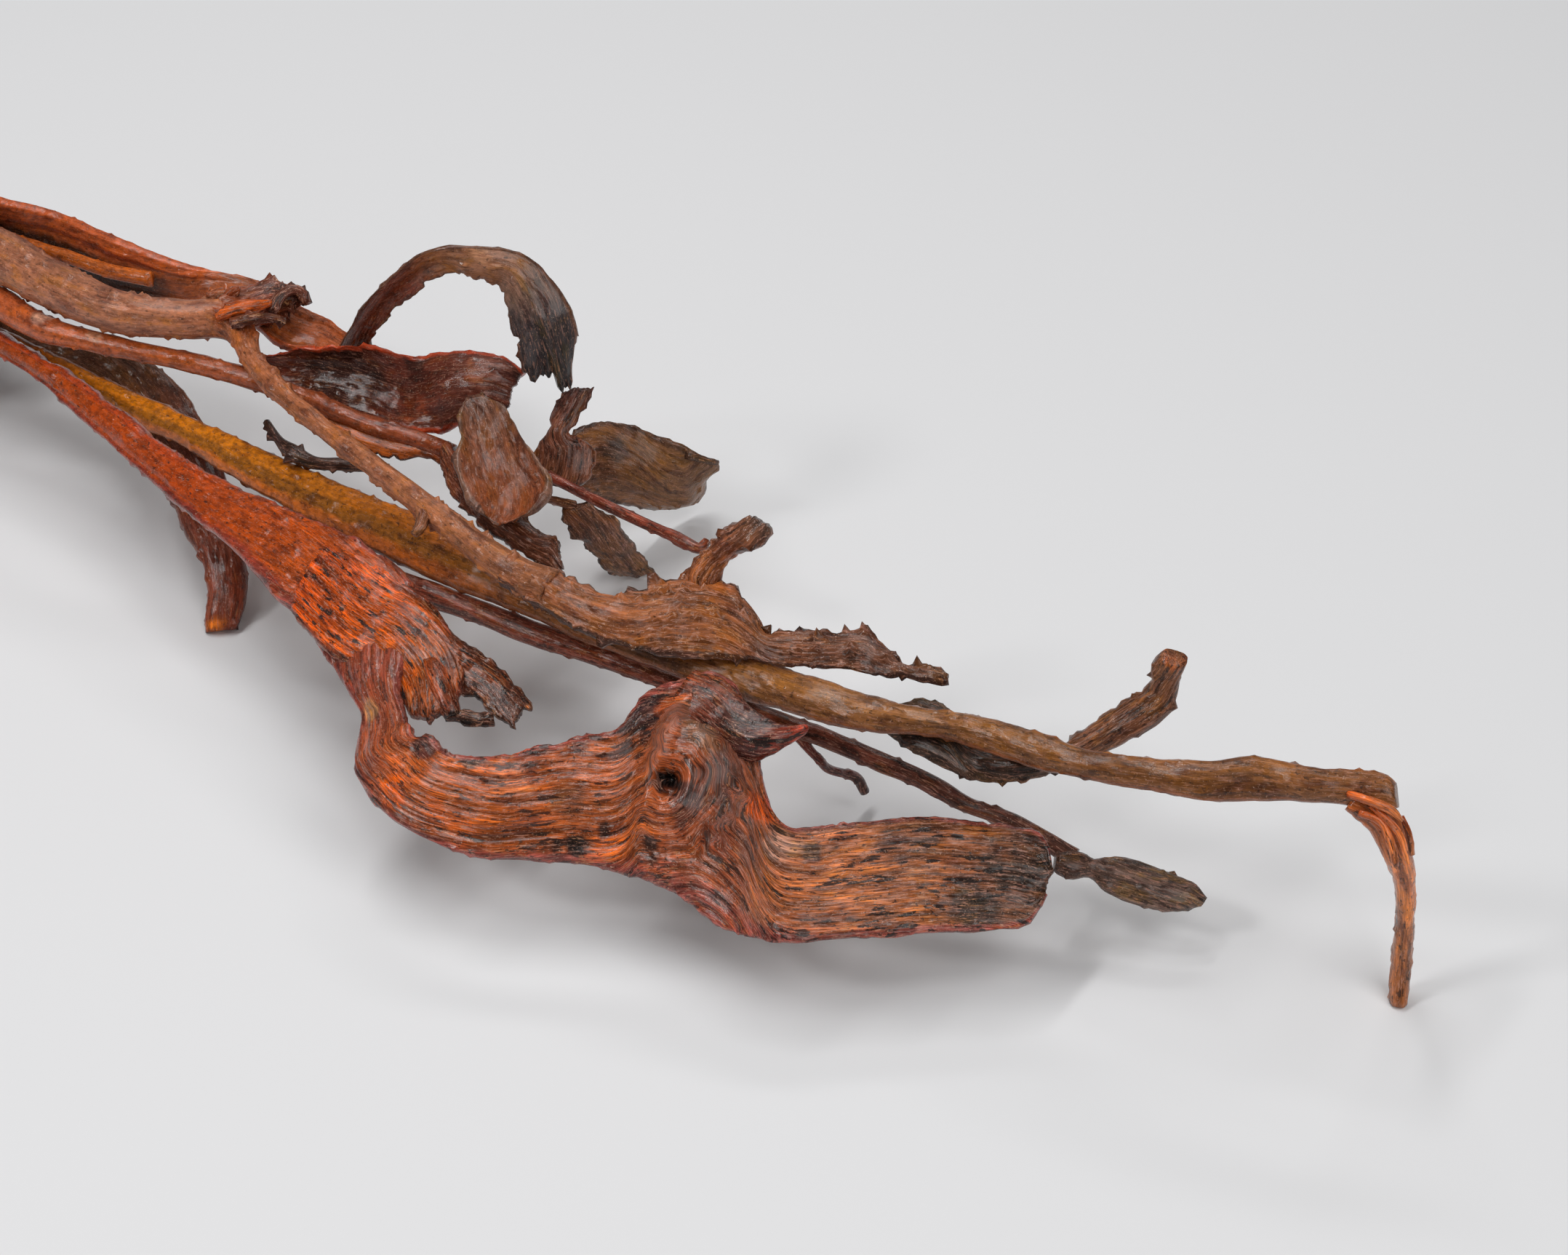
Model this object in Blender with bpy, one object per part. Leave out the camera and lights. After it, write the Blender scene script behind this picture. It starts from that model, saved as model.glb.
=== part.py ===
"""A dried root: a woody crown, the strands that grow from it, and the leaf blades at their ends.

The tables are in millimetres, in the object's own frame: +X runs from the crown to the foot, +Z is
up, and the origin is on the resting surface below the middle of the object. A rod station is its
centre and radius. A blade station is its far edge, its near edge, how far its middle stands up
between them, and its thickness there.
"""

import bpy
import numpy as np

MM = 0.001
CLEARANCE = 0.5  # room between a strand and the socket it stands in
ROD_STEPS = 2  # rings to each span between stations
BLADE_STEPS = 1
ROD_SIDES = 10
BLADE_SIDES = 12
CROWN_SIDES = 20

# Colour as linear red, green and blue, then roughness.
FINISHES = {
    "crown_bark": ((0.13, 0.06, 0.035), 0.75),
    "bark_brown": ((0.20, 0.08, 0.045), 0.55),
    "russet_gloss": ((0.26, 0.05, 0.02), 0.35),
    "orange_gloss": ((0.42, 0.07, 0.012), 0.32),
    "amber_gloss": ((0.32, 0.14, 0.03), 0.38),
    "dark_blade": ((0.09, 0.035, 0.025), 0.5),
    "leaf_brown": ((0.15, 0.075, 0.04), 0.6),
    "red_bark": ((0.16, 0.045, 0.03), 0.5),
}

CROWN = [
    (-152, 7, 37.5, 15.5),
    (-159, 8, 37, 20),
    (-169, 10, 32, 22.5),
    (-183, 13, 25, 22),
    (-198, 15, 19, 20.5),
    (-211, 17, 16.5, 18),
    (-220, 18, 16.5, 13),
]
ARCH_CHANNEL = [
    ((-181, 23, 49), (-194.5, 30.5, 29), 0.6, 3.6),
    ((-161, 22, 51.5), (-175.5, 31, 31), 0.6, 3.6),
    ((-146, 21, 53.5), (-160, 30.5, 31), 0.6, 3.6),
    ((-131.5, 25, 52.5), (-137, 26.5, 35), 0.8, 3.6),
    ((-113, 25.5, 51.5), (-116.5, 25, 36), 0.8, 3.6),
    ((-98, 28.5, 49), (-100, 27.5, 38), 0.8, 3.6),
    ((-89.5, 33, 47), (-88, 27.5, 41.5), 0.6, 3.4),
    ((-79, 36, 45.5), (-73, 23.5, 44), 0.8, 3),
    ((-65.5, 33, 46), (-60.5, 20.5, 44), 0.6, 2.8),
    ((-56.5, 32, 46.5), (-54.5, 23.5, 44), 0.4, 2.4),
    ((-48, 29, 47), (-46.5, 23.5, 45), 0.3, 2.2),
]
ARCH_LEAF = [
    ((-47, 22, 46), (-42.5, 28, 44), -1, 2.2),
    ((-43, 23, 54), (-39, 27.5, 52), -1.5, 2),
    ((-36.5, 23.5, 64.5), (-32, 29, 61), -1.8, 1.8),
    ((-28, 28, 74.5), (-24, 31, 69.5), -1.5, 1.8),
    ((-22, 30.5, 78.5), (-20, 33, 72), -0.5, 2),
    ((-14.5, 35, 79.5), (-15, 33.5, 71.5), 1, 2),
    ((-7, 40.5, 77), (-10, 36, 70), 1.5, 1.8),
    ((0, 42, 72.5), (-7, 33.5, 66), 2, 1.8),
    ((5.5, 41, 66.5), (-5, 33, 61), 2.5, 1.8),
    ((8, 39.5, 59), (-1.5, 30.5, 55), 2.2, 1.8),
    ((8, 36.5, 52.5), (2, 31.5, 50), 0.8, 1.6),
]
INNER_STUB = [
    (-180, 20.5, 41, 1.4),
    (-147.5, 20.5, 43.5, 1.5),
    (-128.5, 20.5, 45, 1.5),
    (-113.5, 21, 45.5, 1.7),
    (-102, 23, 46, 1.7),
]
FAN_STALK = [
    (-170.5, 12, 45, 4.8),
    (-149, 9, 48.5, 5.6),
    (-133.5, 7.5, 50, 6),
    (-113, 5, 50, 5.4),
    (-95.5, 5, 50, 4.9),
    (-81, 10.5, 50, 4.4),
    (-74, 15, 50, 4.2),
    (-67, 14.5, 49, 3.2),
    (-58, 8, 48.5, 2.4),
    (-42, 1.5, 48, 2.2),
    (-25, -3, 47.5, 2.2),
    (-3.5, -8.5, 47, 2.6),
    (16.5, -13.5, 46, 3),
    (30, -16, 45, 3.5),
    (41, -16, 44.5, 4.4),
]
FAN_KNOT = [
    (-77.5, 16, 50, 3.9),
    (-72, 20.5, 50.5, 4.7),
    (-68.5, 25.5, 51, 4.1),
    (-64, 29, 52, 2.4),
    (-61, 29.5, 53, 1.5),
]
FAN_BLADE = [
    ((29, -13, 46), (30, -19.5, 44), 0.5, 6),
    ((37, -13, 46), (41, -21, 43), 1, 5),
    ((45.5, -12.5, 46), (51.5, -21, 42), 1.5, 4.5),
    ((55, -10.5, 46), (60.5, -20.5, 41.5), 2, 3.8),
    ((60, -3.5, 47), (68, -17.5, 41), 2, 3),
    ((65, 1, 47.5), (74.5, -13.5, 40.5), 2, 2.6),
    ((72, 2.5, 47), (80.5, -10.5, 40.5), 1.5, 2.4),
    ((79, 0, 45.5), (85, -9, 41), 1, 2.4),
    ((83.5, -2, 44.5), (89, -8.5, 41.5), 0.6, 2.4),
    ((90, -0.5, 44.5), (94, -6.5, 42), 0.6, 2.6),
    ((95, 3, 45), (99.5, -4.5, 42.5), 0.6, 2.6),
    ((100, 7, 45.5), (106, -2, 42.5), 0.6, 2.6),
    ((105.5, 5.5, 45), (109.5, -1, 43), 0.4, 2.4),
    ((112, 4, 44.5), (113.5, 1, 43.5), 0.2, 2.2),
    ((118.5, 5.5, 44.5), (119.5, 2, 44), 0.1, 2),
    ((122, 5, 44.5), (122.5, 3.5, 44), 0, 1.6),
]
FAN_ANTLER = [
    ((61.5, -3.5, 46), (71, 2.5, 45), 0.5, 2.6),
    ((62.5, -0.5, 48), (69.5, 2, 47), 1, 2.6),
    ((64, 2, 52), (69.5, 4.5, 50.5), 1, 2.8),
    ((67, 4.5, 56), (72.5, 5.5, 54), 1, 3),
    ((71, 6.5, 60), (77, 5.5, 57), 1, 3.2),
    ((74.5, 8.5, 62.5), (78, 7.5, 60.5), 0.5, 2.6),
]
LEAFY_STALK = [
    (-167.5, 7, 38, 2.9),
    (-144.5, 2.5, 40.5, 3.4),
    (-128.5, 1, 42, 3.8),
    (-120, -0.5, 42, 3.3),
    (-111.5, -1, 42, 3),
    (-102, 1, 42, 2.5),
    (-89, 4, 42, 2.3),
    (-77.5, 7.5, 41.5, 2.3),
    (-63, 10.5, 41, 2.3),
    (-48, 12.5, 40, 2.3),
    (-32.5, 13.5, 39, 2.1),
    (-19, 16, 38, 1.9),
    (-11, 17.5, 37, 1.7),
]
CUP_LEAF = [
    ((-66.5, 13.5, 43.5), (-63.5, 12, 41), -0.3, 1.8),
    ((-59, 14.5, 47), (-54, 11, 41.5), -2, 1.8),
    ((-51, 17.5, 50), (-47, 12.5, 41), -4, 1.8),
    ((-42.5, 21.5, 51.5), (-36.5, 13.5, 40.5), -5, 1.8),
    ((-34.5, 25.5, 51.5), (-26, 14.5, 40), -4, 1.8),
    ((-28, 27.5, 50.5), (-20.5, 17, 39), -0.5, 1.8),
    ((-23.5, 31, 51), (-16.5, 21, 38.5), 3, 2),
    ((-17.5, 34.5, 52), (-13.5, 24, 39.5), 5, 2),
    ((-10.5, 37, 51.5), (-9, 26.5, 41), 5, 2),
    ((-5, 36.5, 49), (-4.5, 29, 43), 2, 1.8),
]
UNDER_BLADE = [
    ((-43.5, 12, 38.5), (-41, 10, 36.5), 0, 1.6),
    ((-36.5, 13, 38), (-33.5, 9, 35), 0.4, 1.6),
    ((-27, 14, 37.5), (-25.5, 10.5, 34.5), 0.4, 1.6),
    ((-18.5, 15.5, 37), (-18, 13.5, 35), 0.4, 1.6),
    ((-11.5, 17, 36), (-10, 15, 34.5), 0, 1.6),
]
TAIL_BLADE = [
    ((-12.5, 18.5, 38.5), (-12, 14.5, 36), 0.5, 3),
    ((-4, 15, 38), (-4.5, 7.5, 34.5), 1, 2.2),
    ((10, 9.5, 37.5), (5.5, 3.5, 34), 1.5, 2),
    ((21, 6.5, 36.5), (16.5, 1.5, 33), 1.5, 1.8),
    ((24, 8, 35), (25, 1.5, 31.5), 1, 1.8),
    ((27, 5, 33.5), (30, 1.5, 31), 0.3, 1.6),
]
FRONT_LEAF = [
    ((-8.5, 20, 50.5), (-6, 23, 51), 0, 1.8),
    ((-7.5, 16.5, 49.5), (1.5, 21.5, 51), 1, 2),
    ((-3.5, 11, 48), (9.5, 16.5, 50), 2, 2),
    ((0, 5, 45.5), (16.5, 13.5, 48), 2.5, 2),
    ((5.5, 1, 43), (21, 10.5, 45.5), 2.5, 2),
    ((10.5, -0.5, 41.5), (21.5, 5.5, 43.5), 1.5, 2),
    ((15.5, -2, 40.5), (18.5, 0.5, 41), 0, 1.6),
]
FLAG_LEAF = [
    ((5.5, 24.5, 31), (14, 27.5, 31), 1, 1.8),
    ((3.5, 26, 34), (16.5, 31, 34), 1.5, 1.8),
    ((3, 27.5, 37.5), (13.5, 35, 38), 1.5, 1.8),
    ((4, 31.5, 40.5), (10, 32, 41), 0.8, 1.6),
    ((3, 35, 43.5), (10, 36, 43.5), 0.5, 1.5),
    ((3, 38, 46), (9, 42.5, 47), 0, 1.3),
]
BACK_LEAF = [
    ((1.5, 40, 30), (9, 33.5, 25), 1, 2),
    ((2, 48.5, 31), (11, 41, 18), 3, 2),
    ((7.5, 53, 31), (13, 51, 10), 5, 2),
    ((15, 56, 29), (15.5, 61.5, 4.5), 6, 2),
    ((21, 59, 26), (18.5, 67.5, 5), 5, 1.8),
    ((24.5, 61, 23), (22.5, 66.5, 13), 2, 1.6),
    ((26.5, 64, 20.5), (26.5, 65, 18), 0, 1.4),
]
LOWER_LEAF = [
    ((16.5, 29.5, 27), (11.5, 24, 27), 0.5, 1.8),
    ((19.5, 34, 21), (14.5, 24, 21), 1, 1.8),
    ((21, 36.5, 14.5), (15, 28.5, 14.5), 1.5, 1.8),
    ((22.5, 40, 8), (16.5, 31.5, 8), 1, 1.8),
    ((24, 43, 2), (17, 36.5, 2), 0, 1.8),
]
RED_TWIG = [
    (11.5, 21.5, 37.5, 1.3),
    (20, 22, 36, 1.2),
    (32, 24, 33, 1.2),
    (42.5, 26, 30.5, 1.2),
    (47.5, 26, 30, 1.2),
    (48, 28.5, 30.5, 0.9),
]
DARK_TWIG = [
    (-53, 4.5, 36.5, 1),
    (-47, 1.5, 35.5, 1.4),
    (-42.5, 0.5, 35, 1.7),
    (-37, 0.5, 34.5, 1.7),
    (-32, 3.5, 34, 1.6),
    (-27, 7, 33.5, 1.3),
    (-22.5, 9, 33.5, 1),
]
FOOTED_STRAND = [
    ((-174, 11.5, 29), (-172.5, 9, 26), 0.5, 3.5),
    ((-151.5, 7, 30), (-150.5, 5.5, 26.5), 0.5, 3.5),
    ((-136.5, 6, 29.5), (-135.5, 4, 25.5), 0.6, 3.5),
    ((-113, 5.5, 29), (-112, 2.5, 25), 0.8, 3.4),
    ((-93.5, 4.5, 29), (-94.5, 0, 24.5), 0.8, 3.4),
    ((-75.5, 3.5, 30), (-76, -1.5, 25), 0.8, 3.4),
    ((-61, 2.5, 30.5), (-61, -4, 25.5), 0.8, 3.4),
    ((-41.5, 1, 31.5), (-42, -7, 26), 1, 3.6),
    ((-24, 0, 32.5), (-23.5, -9, 27), 1, 3.8),
    ((-7.5, -0.5, 33.5), (-5.5, -11, 28), 1, 4),
    ((9, -2, 34.5), (12, -13, 30), 1, 4),
    ((25.5, -3.5, 35.5), (29, -13, 31), 1, 4),
    ((41, -4, 36), (44.5, -13.5, 31.5), 1, 4),
    ((55.5, -4.5, 36.5), (58.5, -13, 32), 1, 4),
    ((70, -4, 37), (73, -13, 33), 1, 4),
    ((83, -4, 38), (86.5, -13, 34), 1, 4),
    ((92.5, -5, 39), (95, -12.5, 35), 1, 4),
    ((100.5, -5, 40), (103.5, -12, 36), 1, 4),
    ((110.5, -4.5, 40.5), (113, -10, 37), 1, 3.8),
    ((122.5, -2.5, 41.5), (124.5, -6.5, 38.5), 1, 3.6),
    ((133.5, -1, 43.5), (135.5, -6.5, 40.5), 1, 3.6),
    ((145, -1, 45), (147, -6.5, 41.5), 1, 3.8),
    ((156.5, -1, 46.5), (157.5, -5.5, 43.5), 1, 3.8),
    ((167, 2, 48), (169, -3.5, 44.5), 1, 4),
    ((176.5, 4.5, 49.5), (179, -1, 45.5), 1, 4),
    ((185, 9.5, 51), (188.5, 3.5, 46.5), 1, 4),
    ((194.5, 11.5, 52), (196.5, 7, 47.5), 1, 4),
    ((202, 14.5, 52.5), (204, 10, 48), 1, 4),
    ((207.5, 16.5, 52.5), (210, 11.5, 48.5), 1, 3.6),
    ((210, 15.5, 52), (212, 13, 49.5), 0.5, 3),
]
FOOT_LEG = [
    ((204, 11.5, 49.5), (203.5, 9, 47.5), 0.3, 3),
    ((207.5, 12.5, 49), (205.5, 9, 46.5), 0.3, 3.4),
    ((211.5, 14, 47), (208.5, 10, 44), 0.3, 3.6),
    ((215, 14, 41), (211.5, 11, 38), 0.4, 3.8),
    ((216.5, 16.5, 31), (213, 14, 30), 0.5, 3.8),
    ((217.5, 17.5, 19.5), (214.5, 15.5, 19.5), 0.5, 3.8),
    ((218.5, 18, 8), (215, 15.5, 8), 0.5, 3.8),
    ((220, 15, 0), (217, 13, 0), 0.5, 3.6),
]
HOOKED_STRAND = [
    ((109.5, -1.5, 34), (112, -4.5, 32.5), 0, 2.4),
    ((113, 1.5, 36), (117.5, -5.5, 32), 1, 2.6),
    ((120.5, 4.5, 37), (128, -7, 32), 1, 2.6),
    ((131.5, -1, 36), (135.5, -7, 32.5), 1, 2.6),
    ((140.5, -1, 37.5), (143.5, -4, 34.5), 1, 3),
    ((146.5, 3.5, 39.5), (149.5, 1, 37), 0.8, 3.4),
    ((150, 7.5, 42.5), (155, 5, 40.5), 0.6, 4),
    ((154, 12, 46.5), (160.5, 8.5, 45), 0.5, 4.4),
    ((158, 16, 51), (165, 13.5, 50), 0.5, 4.6),
    ((159, 16, 56), (164, 18, 55), 0.5, 4.6),
    ((160.5, 16.5, 60), (165, 18.5, 59), 0.4, 4.2),
]
TWIG_STALK = [
    (-61, -6, 21.5, 1.5),
    (-46, -12, 23.5, 1.8),
    (-30, -16.5, 25, 1.9),
    (-11, -15, 26, 2.2),
    (0.5, -14.5, 26.5, 2.6),
    (17.5, -13, 26.5, 2.6),
    (32, -12.5, 26.5, 2.6),
    (52.5, -10.5, 26.5, 2.2),
    (70.5, -8.5, 26, 2.1),
    (86, -7, 25.5, 2.1),
    (101.5, -5, 24.5, 1.9),
    (119.5, -2.5, 22, 1.9),
    (129.5, -2, 20, 1.7),
    (137.5, 0.5, 18, 1.7),
    (147, 1.5, 16, 1.7),
    (153, 1.5, 14.5, 2),
]
OVAL_TIP = [
    ((150, -0.5, 16), (151.5, -4, 14.5), 0.5, 3.2),
    ((153.5, 2.5, 15.5), (155, -3, 13), 0.5, 4),
    ((156.5, 3.5, 14.5), (157.5, 0, 12.5), 0.5, 3),
    ((161, 7, 14.5), (162.5, 0, 10.5), 1, 2.4),
    ((169, 9.5, 13.5), (170, 1.5, 9.5), 1.2, 2.4),
    ((174.5, 10.5, 12), (175, 4, 9), 1, 2.2),
    ((178.5, 9.5, 10.5), (178, 7.5, 9), 0.3, 2),
]
TWIGLET = [
    (93, -7, 25, 1.2),
    (97.5, -5.5, 19, 1),
    (99, -3, 14.5, 1),
    (101.5, 3, 9, 1),
    (103, 4.5, 4.5, 0.9),
]
STRAP_STALK = [
    ((-162.5, 1.5, 36), (-160, -2, 32), 1, 5.5),
    ((-143, -0.5, 36), (-140.5, -4, 31.5), 1, 5.5),
    ((-128.5, -1, 36), (-126.5, -4, 31.5), 1, 5.5),
    ((-111, -2.5, 35.5), (-112.5, -6, 31), 1.2, 5.2),
    ((-90, -6.5, 35), (-92.5, -12, 30.5), 1.4, 5),
    ((-67, -12.5, 35), (-71.5, -18, 30), 1.6, 5),
    ((-50, -15, 35), (-55, -23, 29.5), 1.8, 4.8),
    ((-37.5, -15.5, 35), (-42, -26, 29), 2, 4.6),
    ((-22.5, -16, 35.5), (-29, -30, 28.5), 2.2, 4.4),
    ((-8, -17.5, 36), (-19, -34, 28), 2.5, 4),
    ((6, -20, 35.5), (-9.5, -36.5, 27), 2.5, 3.6),
    ((15, -28.5, 34), (-1.5, -40.5, 26), 2.2, 3.2),
    ((20, -39, 32), (6, -44, 25), 1.8, 3),
    ((23, -45, 30.5), (12.5, -47, 24.5), 1.5, 3),
    ((27, -48.5, 30), (17, -50, 24), 1.2, 3),
    ((30.5, -51, 30), (20.5, -55.5, 23), 1.2, 3),
    ((34, -53.5, 30), (24, -61, 22), 1.6, 3),
    ((37.5, -52.5, 30.5), (30.5, -65, 21), 2, 3),
    ((43.5, -54, 30.5), (39.5, -67.5, 20), 2.4, 2.8),
    ((49, -52, 31), (49, -67, 19), 2.6, 2.6),
    ((54.5, -49, 31.5), (58, -65.5, 18.5), 2.8, 2.6),
    ((59, -45, 33), (65.5, -61, 18.5), 3, 2.6),
    ((64, -40.5, 34.5), (73, -57, 18.5), 3, 2.6),
    ((70.5, -36.5, 36.5), (81.5, -54.5, 18.5), 3, 2.6),
    ((71.5, -28.5, 40), (87.5, -53, 18.5), 4, 2.6),
    ((76, -23.5, 42.5), (94.5, -52.5, 18.5), 5, 2.6),
    ((81, -17, 42.5), (102.5, -54, 18), 5, 2.6),
    ((88.5, -17.5, 39), (109.5, -55, 18), 4, 2.6),
    ((96, -24.5, 33), (113.5, -54, 18), 3, 2.6),
    ((104.5, -32, 28), (118, -52.5, 18), 2, 2.4),
    ((111, -30.5, 26.5), (122.5, -50, 18), 1.6, 2.4),
    ((116.5, -26, 26.5), (130, -43, 17.5), 1.5, 2.4),
    ((121.5, -21.5, 27), (136, -39, 17.5), 1.5, 2.4),
    ((127.5, -17, 27), (141.5, -34, 17.5), 1.5, 2.4),
    ((138.5, -10.5, 26.5), (147.5, -30, 17.5), 1.5, 2.4),
    ((146, -7, 26), (152.5, -26, 17.5), 1.4, 2.4),
    ((151, -7.5, 25), (156, -22, 18), 1, 2.2),
    ((155, -11, 23.5), (156.5, -15.5, 20.5), 0.3, 2),
]
STRAP_LOBE = [
    ((-14, -17, 36), (-13, -36, 28), 2, 3.6),
    ((3, -20.5, 35.5), (2, -42, 27), 2.5, 3.4),
    ((16.5, -24.5, 34.5), (11.5, -41.5, 28), 2.5, 3),
    ((25, -28.5, 33), (19.5, -43, 28), 2.2, 2.8),
    ((30.5, -32.5, 32), (25, -46, 27.5), 2, 2.6),
    ((34, -38.5, 31), (28.5, -47.5, 27), 1.6, 2.6),
    ((36, -44.5, 29.5), (32.5, -48, 27.5), 1, 2.4),
]
STRAP_FLAP = [
    ((14, -25, 33.5), (18, -36, 31), 1, 2.4),
    ((27, -28, 32.5), (25.5, -36.5, 30), 1.2, 2.4),
    ((33, -28, 31.5), (32, -37.5, 29), 1.4, 2.2),
    ((38.5, -29, 30.5), (37.5, -37.5, 28.5), 1.4, 2),
    ((44, -31, 29.5), (43, -39, 27.5), 1, 2),
    ((48, -34, 28.5), (47.5, -39, 27.5), 0.4, 1.8),
]
STRAP_FRINGE = [
    ((33, -44, 29.5), (35, -45.5, 28), 0.2, 2),
    ((37, -41.5, 29), (39, -44, 28), 0.3, 2),
    ((42.5, -38.5, 29), (44, -41, 28), 0.2, 1.8),
]
STRAP_CURL = [
    (24.5, -36.5, 32, 1.8),
    (29, -39.5, 31.5, 2.2),
    (33.5, -42.5, 30, 2.5),
    (36.5, -44.5, 28.5, 2),
]
STRAP_HORN = [
    ((78, -19, 42.5), (78.5, -33.5, 37), 2.5, 3),
    ((85, -19, 43.5), (85.5, -31.5, 35), 3, 2.8),
    ((91.5, -22, 43.5), (92, -29.5, 34.5), 2.5, 2.6),
    ((96.5, -23.5, 43), (98, -29, 36), 1.5, 2.4),
    ((101, -23, 42.5), (101.5, -27, 38.5), 0.8, 2.2),
    ((104.5, -20, 41.5), (104, -21, 40), 0, 1.6),
]
PROP_STRAND = [
    ((-185, 21, 24), (-183, 18.5, 22), 0.3, 2.6),
    ((-162.5, 16.5, 24), (-160.5, 12.5, 22), 0.5, 2.6),
    ((-140.5, 16, 24.5), (-138.5, 9, 22), 0.8, 2.4),
    ((-120, 21.5, 24.5), (-117.5, 9.5, 20.5), 1, 2.4),
    ((-102.5, 20.5, 23.5), (-101, 6, 18.5), 1, 2.6),
    ((-87.5, 16, 21.5), (-88.5, -1, 16.5), 1, 3),
    ((-72, 7, 19), (-77, -7, 15), 0.8, 3.6),
    ((-58, -4, 15.5), (-68.5, -12, 13.5), 0.6, 4.2),
    ((-49.5, -11.5, 11), (-58, -17, 10.5), 0.5, 4.6),
    ((-46, -15.5, 6.5), (-53, -20.5, 6), 0.3, 5.4),
    ((-44, -19.5, 3), (-50.5, -24.5, 3), 0.2, 5.4),
    ((-43.5, -22.5, 0), (-48.5, -27, 0), 0, 5),
]


def smooth_rows(rows, steps):
    """A Catmull-Rom curve through the rows, with this many points to each span."""
    rows = np.array(rows, float)
    ends = np.vstack([2 * rows[0] - rows[1], rows, 2 * rows[-1] - rows[-2]])
    points = []
    for i in range(1, len(ends) - 2):
        a, b, c, d = ends[i - 1 : i + 3]
        for t in np.arange(steps) / steps:
            points.append(
                0.5 * (2 * b + (c - a) * t + (2 * a - 5 * b + 4 * c - d) * t**2)
                + 0.5 * (3 * b - a - 3 * c + d) * t**3
            )
    points.append(rows[-1])
    return np.array(points)


def unit(vectors):
    return vectors / np.maximum(np.linalg.norm(vectors, axis=-1, keepdims=True), 1e-9)


def rings(far, near, camber, thick, sides):
    """One lens-shaped ring for each station, from its far edge over the top to its near edge."""
    middle, half = (far + near) / 2, (far - near) / 2
    normal = unit(np.cross(np.gradient(middle, axis=0), half))
    angle = 2 * np.pi * np.arange(sides) / sides
    across, rise = np.cos(angle), np.sin(angle)
    lift = camber[:, None] * (1 - across**2) + thick[:, None] / 2 * rise
    return middle[:, None] + across[:, None] * half[:, None] + lift[..., None] * normal[:, None]


def set_back(rows, grow):
    """Moves the first station back along its run, so that a socket is deeper than its strand."""
    start = unit(rows[1, :3] - rows[0, :3]) * grow
    rows[0, :3] -= start
    if rows.shape[1] > 6:
        rows[0, 3:6] -= start
    return rows


def rod(stations, grow=0.0, sides=ROD_SIDES):
    rows = set_back(smooth_rows(stations, ROD_STEPS), grow)
    centre, radius = rows[:, :3], rows[:, 3:] + grow
    side = unit(np.cross((0, 0, 1), np.gradient(centre, axis=0)))
    return rings(centre + side * radius, centre - side * radius, 0 * rows[:, 3], 2 * radius[:, 0], sides)


def blade(stations, grow=0.0, sides=BLADE_SIDES):
    rows = smooth_rows([(*far, *near, camber, thick) for far, near, camber, thick in stations], BLADE_STEPS)
    rows = set_back(rows, grow)
    far, near = rows[:, :3], rows[:, 3:6]
    out = unit(far - near) * grow
    return rings(far + out, near - out, rows[:, 6], rows[:, 7] + 2 * grow, sides)


def stood_on_floor(shape):
    """The same rings, with the last one cut square on the resting surface and none below it."""
    shape = shape.copy()
    shape[-1, :, 2] = 0
    shape[..., 2] = np.maximum(shape[..., 2], 0)
    return shape


def finish(name):
    made = bpy.data.materials.get(name)
    if made is None:
        made = bpy.data.materials.new(name)
        made.use_nodes = True
        colour, roughness = FINISHES[name]
        shader = made.node_tree.nodes["Principled BSDF"]
        shader.inputs["Base Color"].default_value = (*colour, 1)
        shader.inputs["Roughness"].default_value = roughness
        shader.inputs["Metallic"].default_value = 0
    return made


def end_faces(start, sides):
    """Strips that close a ring, from its top to its underside, so that a curved blade closes too."""
    return [
        sorted({start + j, start + j + 1, start + sides - j - 1, start + (sides - j) % sides})
        for j in range(sides // 2)
    ]


def loft(name, shape, material):
    """A closed mesh over the rings."""
    count, sides = shape.shape[:2]
    faces = []
    for i in range(count - 1):
        a, b = i * sides, (i + 1) * sides
        for j in range(sides):
            k = (j + 1) % sides
            faces.append((a + j, a + k, b + k, b + j))
    last = (count - 1) * sides
    faces += [face[::-1] for face in end_faces(0, sides)] + end_faces(last, sides)
    points = shape.reshape(-1, 3)
    mesh = bpy.data.meshes.new(name)
    mesh.from_pydata([tuple(p * MM) for p in points], [], faces)
    mesh.shade_smooth()
    mesh.set_sharp_from_angle(angle=np.radians(50))
    mesh.materials.append(finish(material))
    made = bpy.data.objects.new(name, mesh)
    bpy.context.scene.collection.objects.link(made)
    return made


def boolean(body, tool, operation, solver="EXACT"):
    """Joins the tool to the body, or cuts it away, and leaves the tool as a hidden guide."""
    tool.hide_render = True
    tool.display_type = "WIRE"
    modifier = body.modifiers.new(tool.name, "BOOLEAN")
    modifier.operation = operation
    modifier.solver = solver
    modifier.object = tool


def grown(name, material, trunk, *branches, solver="EXACT"):
    """One body: a trunk with the shapes that grew out of it."""
    body = loft(name, trunk, material)
    for i, shape in enumerate(branches):
        boolean(body, loft(f"{name}.guide_{i}", shape, material), "UNION", solver)
    return body


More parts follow.
